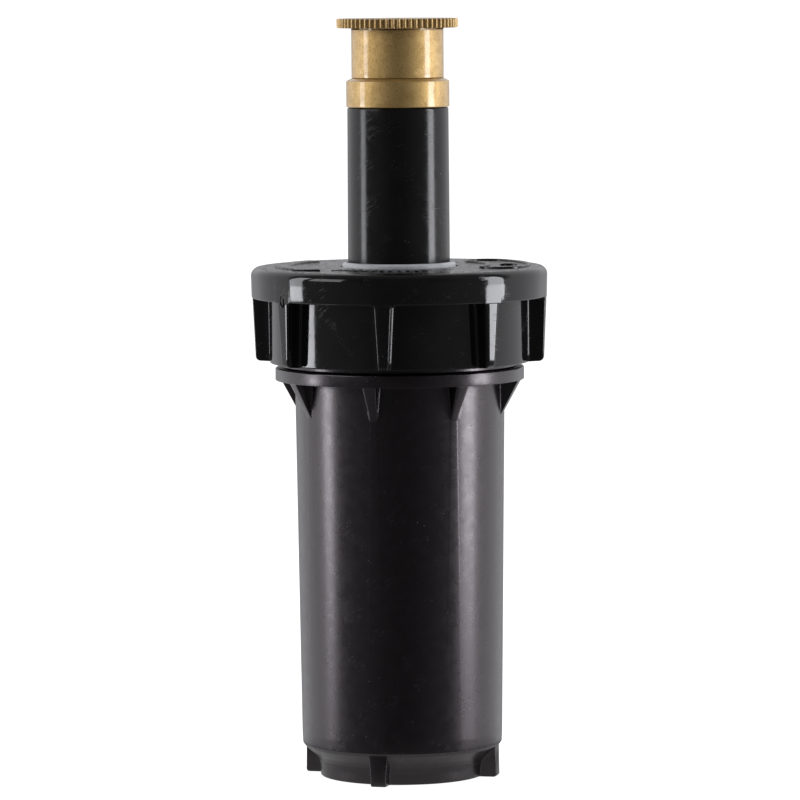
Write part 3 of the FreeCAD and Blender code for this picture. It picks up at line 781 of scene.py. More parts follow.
@dataclass(frozen=True)
class MouldedPlastic:
    """Moulded plastic: slow shade changes, dust, hair scratches, scuffs and a fine skin.

    Attributes:
        name: the material's name.
        colour: its colour.
        worn: colour of dust and scuffs.
        roughness: lowest and highest roughness.
        skin: features a millimetre and depth in micrometres of the moulded skin.
        dust: share of the cells that hold a speck.
        wear: strength of scratches and scuffs.
        sheen: tint of its reflections.
        index: refractive index.
        gloss: weight and roughness of a smoother film over the skin.
        grain: height in millimetres above which the skin is grained, and the grain's depth in
            micrometres.
    """

    name: str
    colour: Colour
    worn: Colour
    roughness: tuple[float, float]
    skin: tuple[float, float]
    dust: float
    wear: float
    sheen: Colour = (1.0, 1.0, 1.0)
    index: float = 1.5
    gloss: tuple[float, float] = (0.0, 0.2)
    grain: tuple[float, float] | None = None

    def material(self) -> bpy.types.Material:
        """Builds the finish's nodes.

        Returns:
            The material.
        """
        sheet = FinishSheet(self.name)
        slow = sheet.noise(0.12, detail=4.0)
        shade = tuple(1.5 * part for part in self.colour)
        base = sheet.mix(sheet.spread(slow, 0.35, 0.65), self.colour, shade)
        dust = sheet.specks(1.6, self.dust, size=0.16)
        fine_dust = sheet.specks(4.5, self.dust * 1.6, size=0.2)
        hair = sheet.scratches((0.25, 0.25, 2.2), turn=(0.5, 0.35, 0.0), thin=0.012, patch=0.22)
        dirt = sheet.math("MAXIMUM", dust, sheet.math("MULTIPLY", fine_dust, 0.7))
        dirt = sheet.math("MAXIMUM", dirt, sheet.math("MULTIPLY", hair, 0.35 * self.wear))
        colour = sheet.mix(dirt, base, self.worn)
        patches = sheet.spread(sheet.noise(0.5, detail=6.0), 0.4, 0.62)
        rough = sheet.spread(patches, 0.0, 1.0, *self.roughness)
        rough = sheet.math("ADD", rough, sheet.math("MULTIPLY", dirt, 0.3))
        waves = sheet.bump(sheet.noise(0.35, detail=2.0), micrometres=8.0)
        features, depth = self.skin
        skin = sheet.bump(sheet.noise(features), depth, waves)
        if self.grain:
            start, depth = self.grain
            height = sheet.add("ShaderNodeSeparateXYZ", {0: sheet.place}).outputs["Z"]
            above = sheet.spread(height, start - 0.1, start)
            blotches = sheet.spread(sheet.noise(1.3, detail=6.0), 0.4, 0.65)
            eroded = sheet.math("MULTIPLY", blotches, above)
            skin = sheet.bump(eroded, depth, skin)
            rough = sheet.math("ADD", rough, sheet.math("MULTIPLY", eroded, 0.4))
        marks = sheet.bump(sheet.math("SUBTRACT", dirt, hair), micrometres=6.0, below=skin)
        sheet.connect(IOR=self.index, Specular_Tint=(*self.sheen, 1.0))
        sheet.connect(Coat_Weight=self.gloss[0], Coat_Roughness=self.gloss[1])
        return sheet.connect(Base_Color=colour, Roughness=rough, Normal=marks)


@dataclass(frozen=True)
class TurnedMetal:
    """Metal with tool lines round the axis, tarnish, pits and bright scratches.

    Attributes:
        name: the material's name.
        colour: the clean metal.
        tarnish: the metal where it has darkened.
        roughness: lowest and highest roughness.
        lines: tool lines a millimetre along the axis.
        pits: share of the cells that hold a dark pit.
        gleam: weight of the smooth film over the metal.
    """

    name: str
    colour: Colour
    tarnish: Colour
    roughness: tuple[float, float]
    lines: float
    pits: float
    gleam: float

    def material(self) -> bpy.types.Material:
        """Builds the finish's nodes.

        Returns:
            The material.
        """
        sheet = FinishSheet(self.name)
        mottle = sheet.math("MULTIPLY", sheet.spread(sheet.noise(0.45, detail=5.0), 0.4, 0.64), 0.4)
        fine = sheet.math("MULTIPLY", sheet.spread(sheet.noise(4.5), 0.38, 0.66), 0.6)
        blend = sheet.math("ADD", mottle, fine)
        pits = sheet.specks(3.4, self.pits, size=0.26)
        scratch = sheet.scratches((0.9, 0.9, 0.35), turn=(0.0, 0.9, 0.4), thin=0.02, patch=0.3)
        pit_colour = tuple(0.12 * part for part in self.tarnish)
        pale = tuple(min(1.0, 1.15 * part + 0.08) for part in self.colour)
        colour = sheet.mix(blend, self.colour, self.tarnish)
        colour = sheet.mix(sheet.math("MULTIPLY", pits, 0.85), colour, pit_colour)
        colour = sheet.mix(sheet.math("MULTIPLY", scratch, 0.7), colour, pale)
        rough = sheet.spread(sheet.math("MAXIMUM", blend, pits), 0.0, 1.0, *self.roughness)
        along_axis = sheet.scaled(sheet.place, (0.12, 0.12, self.lines))
        lined = sheet.bump(sheet.noise(1.0, detail=2.0, place=along_axis), micrometres=3.0)
        pitted = sheet.bump(sheet.math("ADD", pits, scratch), micrometres=-12.0, below=lined)
        uneven = sheet.bump(sheet.noise(0.8), micrometres=9.0, below=pitted)
        sheet.connect(Coat_Weight=self.gleam, Coat_Roughness=0.13, Coat_IOR=1.6)
        return sheet.connect(Base_Color=colour, Roughness=rough, Normal=uneven, Metallic=1.0)


@dataclass(frozen=True)
class Elastomer:
    """Rubber: matt, with a cloudy colour, bloom in patches and a dusty skin.

    Attributes:
        name: the material's name.
        colour: its colour.
        bloom: colour of the bloom and dust on it.
        roughness: lowest and highest roughness.
    """

    name: str
    colour: Colour
    bloom: Colour
    roughness: tuple[float, float]

    def material(self) -> bpy.types.Material:
        """Builds the finish's nodes.

        Returns:
            The material.
        """
        sheet = FinishSheet(self.name)
        cloud = sheet.spread(sheet.noise(0.6, detail=5.0), 0.4, 0.75, to_high=0.6)
        dust = sheet.specks(3.0, share=0.05, size=0.2)
        colour = sheet.mix(sheet.math("MAXIMUM", cloud, dust), self.colour, self.bloom)
        rough = sheet.spread(cloud, 0.0, 0.6, *self.roughness)
        waves = sheet.bump(sheet.noise(0.7, detail=2.0), micrometres=25.0)
        skin = sheet.bump(sheet.noise(5.0, detail=4.0), micrometres=8.0, below=waves)
        return sheet.connect(Base_Color=colour, Roughness=rough, Normal=skin, IOR=1.45)


@dataclass(frozen=True)
class WovenMesh:
    """A woven filter mesh: two sets of threads crossing, as a pattern round the tube.

    Attributes:
        name: the material's name.
        thread: colour of the threads.
        gap: colour between them.
        count: threads a millimetre.
        radius: the tube's.
    """

    name: str
    thread: Colour
    gap: Colour
    count: float
    radius: float = 4.95

    def material(self) -> bpy.types.Material:
        """Builds the finish's nodes.

        Returns:
            The material.
        """
        sheet = FinishSheet(self.name)
        parts = sheet.add("ShaderNodeSeparateXYZ", {0: sheet.place}).outputs
        around = sheet.math("MULTIPLY", sheet.math("ARCTAN2", parts[1], parts[0]), self.radius)
        threads = []
        for place in (around, parts[2]):
            wave = sheet.math("SINE", sheet.math("MULTIPLY", place, math.pi * self.count))
            threads.append(sheet.math("ABSOLUTE", wave))
        height = sheet.math("MAXIMUM", *threads)
        colour = sheet.mix(sheet.spread(height, 0.55, 0.8), self.gap, self.thread)
        rough = sheet.spread(sheet.noise(2.0), 0.3, 0.7, to_low=0.45, to_high=0.65)
        weave = sheet.bump(height, micrometres=60.0)
        return sheet.connect(Base_Color=colour, Roughness=rough, Normal=weave)


FINISHES = {
    Slot.CASE_PLASTIC: MouldedPlastic(
        name="satin_black_plastic", colour=(0.0018, 0.001, 0.0014), worn=(0.2, 0.18, 0.19),
        roughness=(0.27, 0.33), skin=(5.0, 6.0), dust=0.014, wear=0.6,
        sheen=(1.0, 0.89, 0.96), index=1.6, gloss=(0.35, 0.2)),
    Slot.GLOSS_PLASTIC: MouldedPlastic(
        name="drawn_black_plastic", colour=(0.0065, 0.0065, 0.007), worn=(0.2, 0.2, 0.21),
        roughness=(0.14, 0.19), skin=(3.0, 2.5), dust=0.02, wear=0.5, index=1.43),
    Slot.SEAL_RUBBER: Elastomer(
        name="pale_seal_rubber", colour=(0.82, 0.83, 0.87), bloom=(0.6, 0.6, 0.62),
        roughness=(0.35, 0.55)),
    Slot.BLACK_RUBBER: Elastomer(
        name="black_ring_rubber", colour=(0.012, 0.012, 0.012), bloom=(0.05, 0.05, 0.048),
        roughness=(0.5, 0.75)),
    Slot.ACETAL: MouldedPlastic(
        name="white_acetal", colour=(0.55, 0.55, 0.52), worn=(0.35, 0.33, 0.3),
        roughness=(0.3, 0.45), skin=(4.0, 6.0), dust=0.02, wear=0.6),
    Slot.SPRING_STEEL: TurnedMetal(
        name="drawn_steel", colour=(0.62, 0.62, 0.63), tarnish=(0.34, 0.33, 0.32),
        roughness=(0.22, 0.42), lines=7.0, pits=0.03, gleam=0.0),
    Slot.BRASS: TurnedMetal(
        name="turned_brass", colour=(0.72, 0.5, 0.21), tarnish=(0.5, 0.33, 0.11),
        roughness=(0.55, 0.7), lines=9.0, pits=0.22, gleam=0.9),
    Slot.FILTER_PLASTIC: MouldedPlastic(
        name="grey_filter_plastic", colour=(0.1, 0.1, 0.105), worn=(0.3, 0.3, 0.3),
        roughness=(0.35, 0.5), skin=(4.0, 6.0), dust=0.02, wear=0.6),
    Slot.FILTER_MESH: WovenMesh(
        name="woven_filter_mesh", thread=(0.09, 0.09, 0.09), gap=(0.008, 0.008, 0.008), count=2.2),
}

CAP_FINISH = MouldedPlastic(
    name="grained_black_plastic", colour=(0.0055, 0.0055, 0.006), worn=(0.2, 0.2, 0.21),
    roughness=(0.05, 0.1), skin=(2.2, 1.5), dust=0.012, wear=0.4, grain=(98.1, 22.0))


def coat(mesh: bpy.types.Mesh, material: bpy.types.Material) -> None:
    """Gives the whole mesh one material."""
    mesh.materials.clear()
    mesh.materials.append(material)


class Palette:
    """The materials, each built once from its finish."""

    def __init__(self) -> None:
        """Builds every finish's material."""
        self.materials = {slot: finish.material() for slot, finish in FINISHES.items()}

    def dress(self, mesh: bpy.types.Mesh, slot: Slot) -> None:
        """Gives the whole mesh its slot's finish."""
        coat(mesh, self.materials[slot])


def put_in_scene(name: str, data: bpy.types.ID) -> bpy.types.Object:
    """Makes an object of a mesh, light or camera and links it to the scene.

    Args:
        name: the object's name.
        data: the mesh, light or camera.

    Returns:
        The object.
    """
    thing = bpy.data.objects.new(name, data)
    bpy.context.scene.collection.objects.link(thing)
    return thing


# ---- sub-assemblies ------------------------------------------------------------------------------

def add_piece(
    name: str, shells: Sequence[Shell], palette: Palette, slot: Slot, node: str, sharp: float = 40.0
) -> bpy.types.Object:
    """Makes one object of closed surfaces, gives it its finish, and lets it stand for a CAD node.

    Args:
        name: the piece's name.
        shells: its surfaces, in millimetres.
        palette: the materials.
        slot: the record's slot of its finish.
        node: the CAD node that it stands for.
        sharp: angle in degrees above which an edge isn't smoothed.

    Returns:
        The object, riding on nothing yet.
    """
    offsets = np.cumsum([0] + [len(shell.points) for shell in shells[:-1]])
    points = np.concatenate([shell.points for shell in shells]) * MM
    faces = [face for shell, offset in zip(shells, offsets) for face in shell.faces(int(offset))]
    mesh = bpy.data.meshes.new(name)
    mesh.from_pydata(points.tolist(), [], faces)
    mesh.update()
    mesh.shade_smooth()
    mesh.set_sharp_from_angle(angle=math.radians(sharp))
    palette.dress(mesh, slot)
    piece = put_in_scene(name, mesh)
    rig.replaces(piece, node)
    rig.slot(piece, slot.value)
    return piece


@dataclass
class Case:
    """The can: foot ring with fins, tapered wall, gusseted flange, threaded neck, pipe inlet."""

    foot_radius: float = 15.85
    recess_radius: float = 14.2
    recess_top: float = 14.0
    boss_radius: float = 12.4
    web_bottom: float = 1.2
    web_width: float = 1.4
    inlet_radius: float = 9.2
    inlet_top: float = 15.0
    throat_radius: float = 7.5
    inside_floor: float = 17.5
    fin_radius: float = 19.0
    can_low: float = 19.2
    can_high: float = 20.15
    flange_radius: float = 23.9
    flange_top: float = 78.9
    flange_bottom: float = 76.5
    gusset_width: float = 2.5
    neck_radius: float = 22.0
    neck_bore: float = 19.9
    rim_top: float = 92.6
    guide_depth: float = 1.0
    guide_width: float = 1.6
    fin_width: float = 3.7
    bore_low: float = 17.35
    bore_high: float = 18.08
    ribs: Ribs = Ribs(count=8, first=-104.5, edge=0.25, root=0.35)
    neck_thread: Thread = Thread(
        radius=22.0, depth=1.1, pitch=3.0, start=81.6, low=80.6, high=90.8)
    pipe_thread: Thread = Thread(
        radius=9.2, depth=0.75, pitch=1.81, start=2.0, low=0.6, high=14.0)

    def corners(self) -> list[Corner]:
        """The half section: down the outside, round the foot, up the inside, down the neck.

        Returns:
            The corners in order.
        """
        fin, foot, flange, low = (
            self.fin_radius, self.foot_radius, self.flange_radius, self.flange_bottom)
        recess, boss, inlet = self.recess_radius, self.boss_radius, self.inlet_radius
        recess_top, web, web_wide = self.recess_top, self.web_bottom, self.web_width
        throat, inside = self.throat_radius, self.inside_floor
        gusset, guide, deep = self.gusset_width, self.guide_width, self.guide_depth
        can, wide, bore, wider = self.can_low, self.fin_width, self.bore_low, self.bore_high
        return [
            Corner(flange, self.flange_top, 0.3),
            Corner(flange, low, 0.25, width=gusset),
            Corner(flange - 0.25, low, 0.05, 3, rib=(flange - 0.25, low - 0.1), width=gusset),
            Corner(self.can_high, low, 0.4, 9, rib=(flange - 0.3, low - 0.15), width=gusset),
            Corner(20.07, 69.9, 0.1, 26, rib=(20.09, 69.85), rib_fillet=0.6, width=1.45),
            Corner(can + 0.1, 8.5, 0.1, 3, width=wide),
            Corner(can, 6.4, 0.12, 1, (can - 0.02, 6.35), 0.1, wide, True),
            Corner(18.7, 5.75, 0.4, 2, (fin - 0.15, 6.0), 0.1, 3.65, True),
            Corner(16.75, 4.0, 0.8, 1, (fin - 0.12, 4.0), 0.1, 3.4, True),
            Corner(16.2, 3.2, 0.8, 1, (fin - 0.1, 3.2), 0.1, 3.3, True),
            Corner(foot + 0.1, 2.0, 0.8, 3, (fin - 0.07, 2.0), 0.1, 3.1, True),
            Corner(foot - 0.05, 0.0, 0.25, 2, (fin, 0.0), 0.5, 2.9, True),
            Corner(recess, 0.0, 0.25, 3, width=web_wide),
            Corner(recess, recess_top, 0.5, 2, (recess, web), 0.2, web_wide),
            Corner(boss, recess_top, 0.5, 3, (boss, web), 0.2, web_wide),
            Corner(boss, 0.0, 0.25, 2, width=web_wide),
            Corner(inlet, 0.0, 0.3, 60),
            Corner(inlet, self.inlet_top, 0.2),
            Corner(throat, self.inlet_top, 0.2),
            Corner(throat, inside, 0.3, 3, width=guide),
            Corner(bore, inside, 0.8, 10, (bore - deep, inside), 0.2, guide, True),
            Corner(wider, 72.5, 0.1, 1, (wider - deep, 72.5), 0.3, guide, True),
            Corner(18.11, 73.4, 0.1, 1, width=guide),
            Corner(18.15, 75.5, 0.5, 3),
            Corner(self.neck_bore, self.flange_top, 0.5, 4),
            Corner(self.neck_bore, self.rim_top, 0.3, 2),
            Corner(self.neck_radius, self.rim_top, 0.4, 60),
            Corner(self.neck_radius, self.flange_top, 0.3, 2),
        ]

    def threads(self, r: Array, z: Array, angle: Array) -> tuple[Array, Array]:
        """Adds the cap's thread outside the neck and the pipe's thread inside the inlet.

        Args:
            r: grid of radius.
            z: grid of height.
            angle: grid of angle in radians.

        Returns:
            The changed grids of radius and height.
        """
        r = self.neck_thread.apply(r, z, angle)
        inlet = np.where(z < self.inlet_top + 0.5, self.pipe_thread.apply(r, z, angle), r)
        return inlet, z

    def build(self, palette: Palette) -> list[bpy.types.Object]:
        """Builds the can and lets it ride on the head.

        Args:
            palette: the materials.

        Returns:
            The can.
        """
        shell = ribbed_shell(self.corners(), self.ribs, alter=self.threads)
        can = add_piece("can_moulding", [shell], palette, Slot.CASE_PLASTIC, "case_body")
        return [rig.ride(can, Body.HEAD.value)]


@dataclass
class Cap:
    """The screw cap: rounded band, skirt with tapered grips, thread inside, raised marks on top."""

    radius: float = 28.5
    top: float = 98.2
    top_fillet: float = 1.6
    band_bottom: float = 92.3
    skirt_radius: float = 25.0
    skirt_bottom: float = 79.8
    skirt_bore: float = 23.5
    bore_top: float = 94.9
    hole: float = 11.3
    pocket_radius: float = 15.6
    pocket_top: float = 96.0
    grip_high: tuple[float, float] = (28.3, 3.2)
    grip_low: tuple[float, float] = (27.8, 1.9)
    corner_fillet: float = 0.55
    mark_height: float = 0.36
    mark_sink: float = 0.08
    drop_radius: float = 1.7
    drop_length: float = 5.1
    ribs: Ribs = Ribs(count=8, first=-96.5, edge=0.3, root=0.4)
    thread: Thread = Thread(
        radius=23.5, depth=-0.9, pitch=3.0, start=83.1, low=82.0, high=91.0)

    def corners(self) -> list[Corner]:
        """The half section: along the top, down the band and skirt, up the inside.

        Returns:
            The corners in order.
        """
        band, low, skirt = self.band_bottom, self.skirt_bottom, self.skirt_radius
        high, wide = self.grip_high
        outer, narrow = self.grip_low
        return [
            Corner(self.hole, self.top, 0.2, 6, width=wide),
            Corner(self.radius, self.top, self.top_fillet, 3, width=wide),
            Corner(self.radius - 0.15, band, 0.35, 3, (self.radius - 0.15, band), 0.05, wide),
            Corner(skirt, band, 0.4, 4, (high, band - 0.1), 0.05, wide),
            Corner(skirt, band - 0.7, 0.05, 10, (high - 0.02, band - 0.7), 0.05, wide - 0.07),
            Corner(skirt - 0.08, low + 0.5, 0.05, 2, (outer, low + 0.2), 0.9, narrow),
            Corner(skirt - 0.1, low, 0.3, 1, (skirt - 0.1, low + 0.05), 0.2, narrow),
            Corner(self.skirt_bore, low, 0.2, 60),
            Corner(self.skirt_bore, self.bore_top, 0.3, 3),
            Corner(self.pocket_radius, self.bore_top, 0.2),
            Corner(self.pocket_radius, self.pocket_top, 0.2, 2),
            Corner(self.hole, self.pocket_top, 0.15, 2),
        ]

    def swell(self, rib: Array) -> Array:
        """Growth of a grip's half width into the band, f - sqrt(f^2 - (f - d)^2) at d below it.

        Args:
            rib: rows of the rib's half section.

        Returns:
            The growth at each row.
        """
        fillet = self.corner_fillet
        below = np.clip(self.band_bottom - rib[:, 1], 0, fillet)
        return fillet - np.sqrt(fillet**2 - (fillet - below) ** 2)

    def threads(self, r: Array, z: Array, angle: Array) -> tuple[Array, Array]:
        """Adds the thread inside the skirt."""
        return self.thread.apply(r, z, angle), z

    def mark(self, path: Array, half_width: Array, closed: bool) -> Shell:
        """A raised mark on the top, its foot sunk a little into the face."""
        bottom, height = self.top - self.mark_sink, self.mark_height + self.mark_sink
        return raised_mark(path, half_width, bottom, height, closed)

    def arrow(self) -> Shell:
        """A curved arrow that shows the way to close the cap.

        Returns:
            The arrow.
        """
        along = np.linspace(0, 1, 49)
        path = on_circle(22.3, 138 + 90 * along)
        head = np.clip((1 - along) / 0.13, 0, 1)
        return self.mark(path, np.where(along < 0.86, 1.5, 3.0 * head + 0.02), closed=False)

    def framed_drop(self) -> list[Shell]:
        """A drop inside a curved frame with round ends.

        Half the drop's width at x is the lesser of a circle's, sqrt(r^2 - (x - r)^2), and that of
        the straight lines that touch it and meet at the tip. Past the circle it is the lines'.

        Returns:
            The frame's line and the drop.
        """
        middle, reach, start, end = 21.0, 3.9, -22.0, 36.0
        turn = np.linspace(0, 180, 13)
        tips = [on_circle(middle, np.array([angle]))[0] for angle in (end, start)]
        far = tips[0] + on_circle(reach, turn[::-1][1:-1] + end)
        near = tips[1] + on_circle(reach, turn[::-1][1:-1] + start + 180)
        path = np.concatenate([
            on_circle(middle - reach, np.linspace(start, end, 30)), far,
            on_circle(middle + reach, np.linspace(end, start, 40)), near,
        ])
        frame_line = self.mark(path, np.full(len(path), 0.4), closed=True)
        radius, length = self.drop_radius, self.drop_length
        place = np.linspace(0, 1, 41) * length
        bulb = np.sqrt(np.maximum(radius**2 - (place - radius) ** 2, 0.0))
        cone = (length - place) * radius / math.sqrt((length - radius) ** 2 - radius**2)
        outline = np.where(place > 2 * radius, cone, np.minimum(bulb, cone))
        drop = np.column_stack([np.full_like(place, middle), place - 0.7])
        return [frame_line, self.mark(drop, np.maximum(outline, 0.03), closed=False)]

    def gate_mark(self) -> Shell:
        """The oval ring of the moulding gate, on a grip where it meets the band.

        Returns:
            The ring.
        """
        half_width, half_height, wire = 0.5, 1.2, 0.14
        turn = np.linspace(0, 2 * math.pi, 40, endpoint=False)
        grip = math.radians(self.ribs.first - 360 / self.ribs.count)
        angle = grip + half_width / self.radius * np.cos(turn)
        height = self.band_bottom + 0.3 + half_height * np.sin(turn)
        path = about_axis(np.full_like(turn, self.radius - 0.16), height, angle)
        return wire_shell(path, angle, wire, sides=8, closed=True)

    def ticks(self) -> list[Shell]:
        """A row of plain raised ticks near the front.

        Returns:
            The ticks.
        """
        shells = []
        for angle in np.arange(-130, -70, 5.0):
            inner, outer = (on_circle(radius, np.array([angle])) for radius in (17.0, 19.6))
            path = inner + (outer - inner) * np.linspace(0, 1, 5)[:, None]
            half_width = np.full(len(path), 0.3)
            shells.append(raised_mark(path, half_width, self.top - 0.05, 0.2, closed=False))
        return shells

    def build(self, palette: Palette) -> list[bpy.types.Object]:
        """Builds the cap with its marks and lets it ride on the head.

        Args:
            palette: the materials.

        Returns:
            The cap.
        """
        body = ribbed_shell(self.corners(), self.ribs, self.swell, self.threads)
        shells = [body, self.arrow(), self.gate_mark(), *self.framed_drop(), *self.ticks()]
        cap = add_piece("cap_moulding", shells, palette, Slot.GLOSS_PLASTIC, "cap")
        coat(cap.data, CAP_FINISH.material())
        return [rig.ride(cap, Body.HEAD.value)]


@dataclass
class Wiper:
    """The pale seal that stands out of the cap's hole round the riser."""

    bore: float = 9.95
    neck: float = 10.85
    flange: float = 15.4
    top: float = 99.05
    seat: float = 96.0
    bottom: float = 94.95

    def build(self, palette: Palette) -> list[bpy.types.Object]:
        """Builds the seal and lets it ride on the head.

        Args:
            palette: the materials.

        Returns:
            The seal.
        """
        inside = self.bore + 0.75
        shell = turned_shell([
            Corner(self.bore, self.top - 0.2, 0.12),
            Corner(self.bore + 0.25, self.top, 0.12),
            Corner(self.neck, self.top - 0.35, 0.3),
            Corner(self.neck, self.seat, 0.2),
            Corner(self.flange, self.seat, 0.2),
            Corner(self.flange, self.bottom, 0.2),
            Corner(self.bore + 0.15, self.bottom, 0.1),
            Corner(self.bore, self.bottom + 0.35, 0.1),
            Corner(inside, self.seat + 0.2, 0.3),
            Corner(inside, self.top - 1.5, 0.3),
        ], columns=160)
        seal = add_piece("wiper_lips", [shell], palette, Slot.SEAL_RUBBER, "wiper_seal")
        return [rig.ride(seal, Body.HEAD.value)]


@dataclass
class Riser:
    """The sliding stem: foot flange with ratchet teeth, tapered tube, thread for the nozzle."""

    bottom: float = 62.6
    foot_radius: float = 14.4
    foot_top: float = 65.9
    radius_low: float = 9.9
    radius_high: float = 9.7
    bore: float = 7.9
    shoulder: float = 128.6
    spout_radius: float = 7.8
    spout_bore: float = 6.9
    spout_top: float = 131.6
    teeth: int = 24
    tooth_height: float = 0.7
    tooth_span: tuple[float, float] = (11.2, 14.0)
    spout_thread: Thread = Thread(
        radius=7.8, depth=0.45, pitch=0.94, start=129.2, low=128.3, high=132.0)

    def dressed(self, r: Array, z: Array, angle: Array) -> tuple[Array, Array]:
        """Adds the thread, and the teeth on the foot.

        Over a tooth, s from 0 to 1, the foot's top is z + h clip(1.3 - 3 |s - 0.5|, 0, 1).

        Args:
            r: grid of radius.
            z: grid of height.
            angle: grid of angle in radians.

        Returns:
            The changed grids of radius and height.
        """
        share = np.mod(angle * self.teeth / (2 * math.pi) + 0.5, 1.0)
        tooth = np.clip(1.3 - 3.0 * np.abs(share - 0.5), 0, 1) * self.tooth_height
        low, high = self.tooth_span
        on_teeth = (np.abs(z - self.foot_top) < 0.01) & (r > low) & (r < high)
        return self.spout_thread.apply(r, z, angle), np.where(on_teeth, z + tooth, z)

    def build(self, palette: Palette) -> list[bpy.types.Object]:
        """Builds the riser and lets it ride on its own body.

        Args:
            palette: the materials.

        Returns:
            The riser.
        """
        low, high = self.tooth_span
        shell = turned_shell([
            Corner(self.bore, self.bottom, 0.2),
            Corner(self.foot_radius, self.bottom, 0.5),
            Corner(self.foot_radius, self.foot_top, 0.15),
            Corner(high + 0.06, self.foot_top, 0.02),
            Corner(high - 0.06, self.foot_top, 0.02, 4),
            Corner(low + 0.06, self.foot_top, 0.02),
            Corner(low - 0.06, self.foot_top, 0.02),
            Corner(self.radius_low, self.foot_top, 0.3, 24),
            Corner(self.radius_high, self.shoulder, 0.3),
            Corner(self.spout_radius, self.shoulder, 0.1, 18),
            Corner(self.spout_radius, self.spout_top, 0.25),
            Corner(self.spout_bore, self.spout_top, 0.2),
            Corner(self.spout_bore, self.shoulder - 3, 0.2),
            Corner(self.bore, self.shoulder - 4, 0.2, 12),
        ], columns=self.teeth * 8, alter=self.dressed)
        tube = add_piece("riser_moulding", [shell], palette, Slot.GLOSS_PLASTIC, "riser")
        return [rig.ride(tube, Body.RISER.value)]


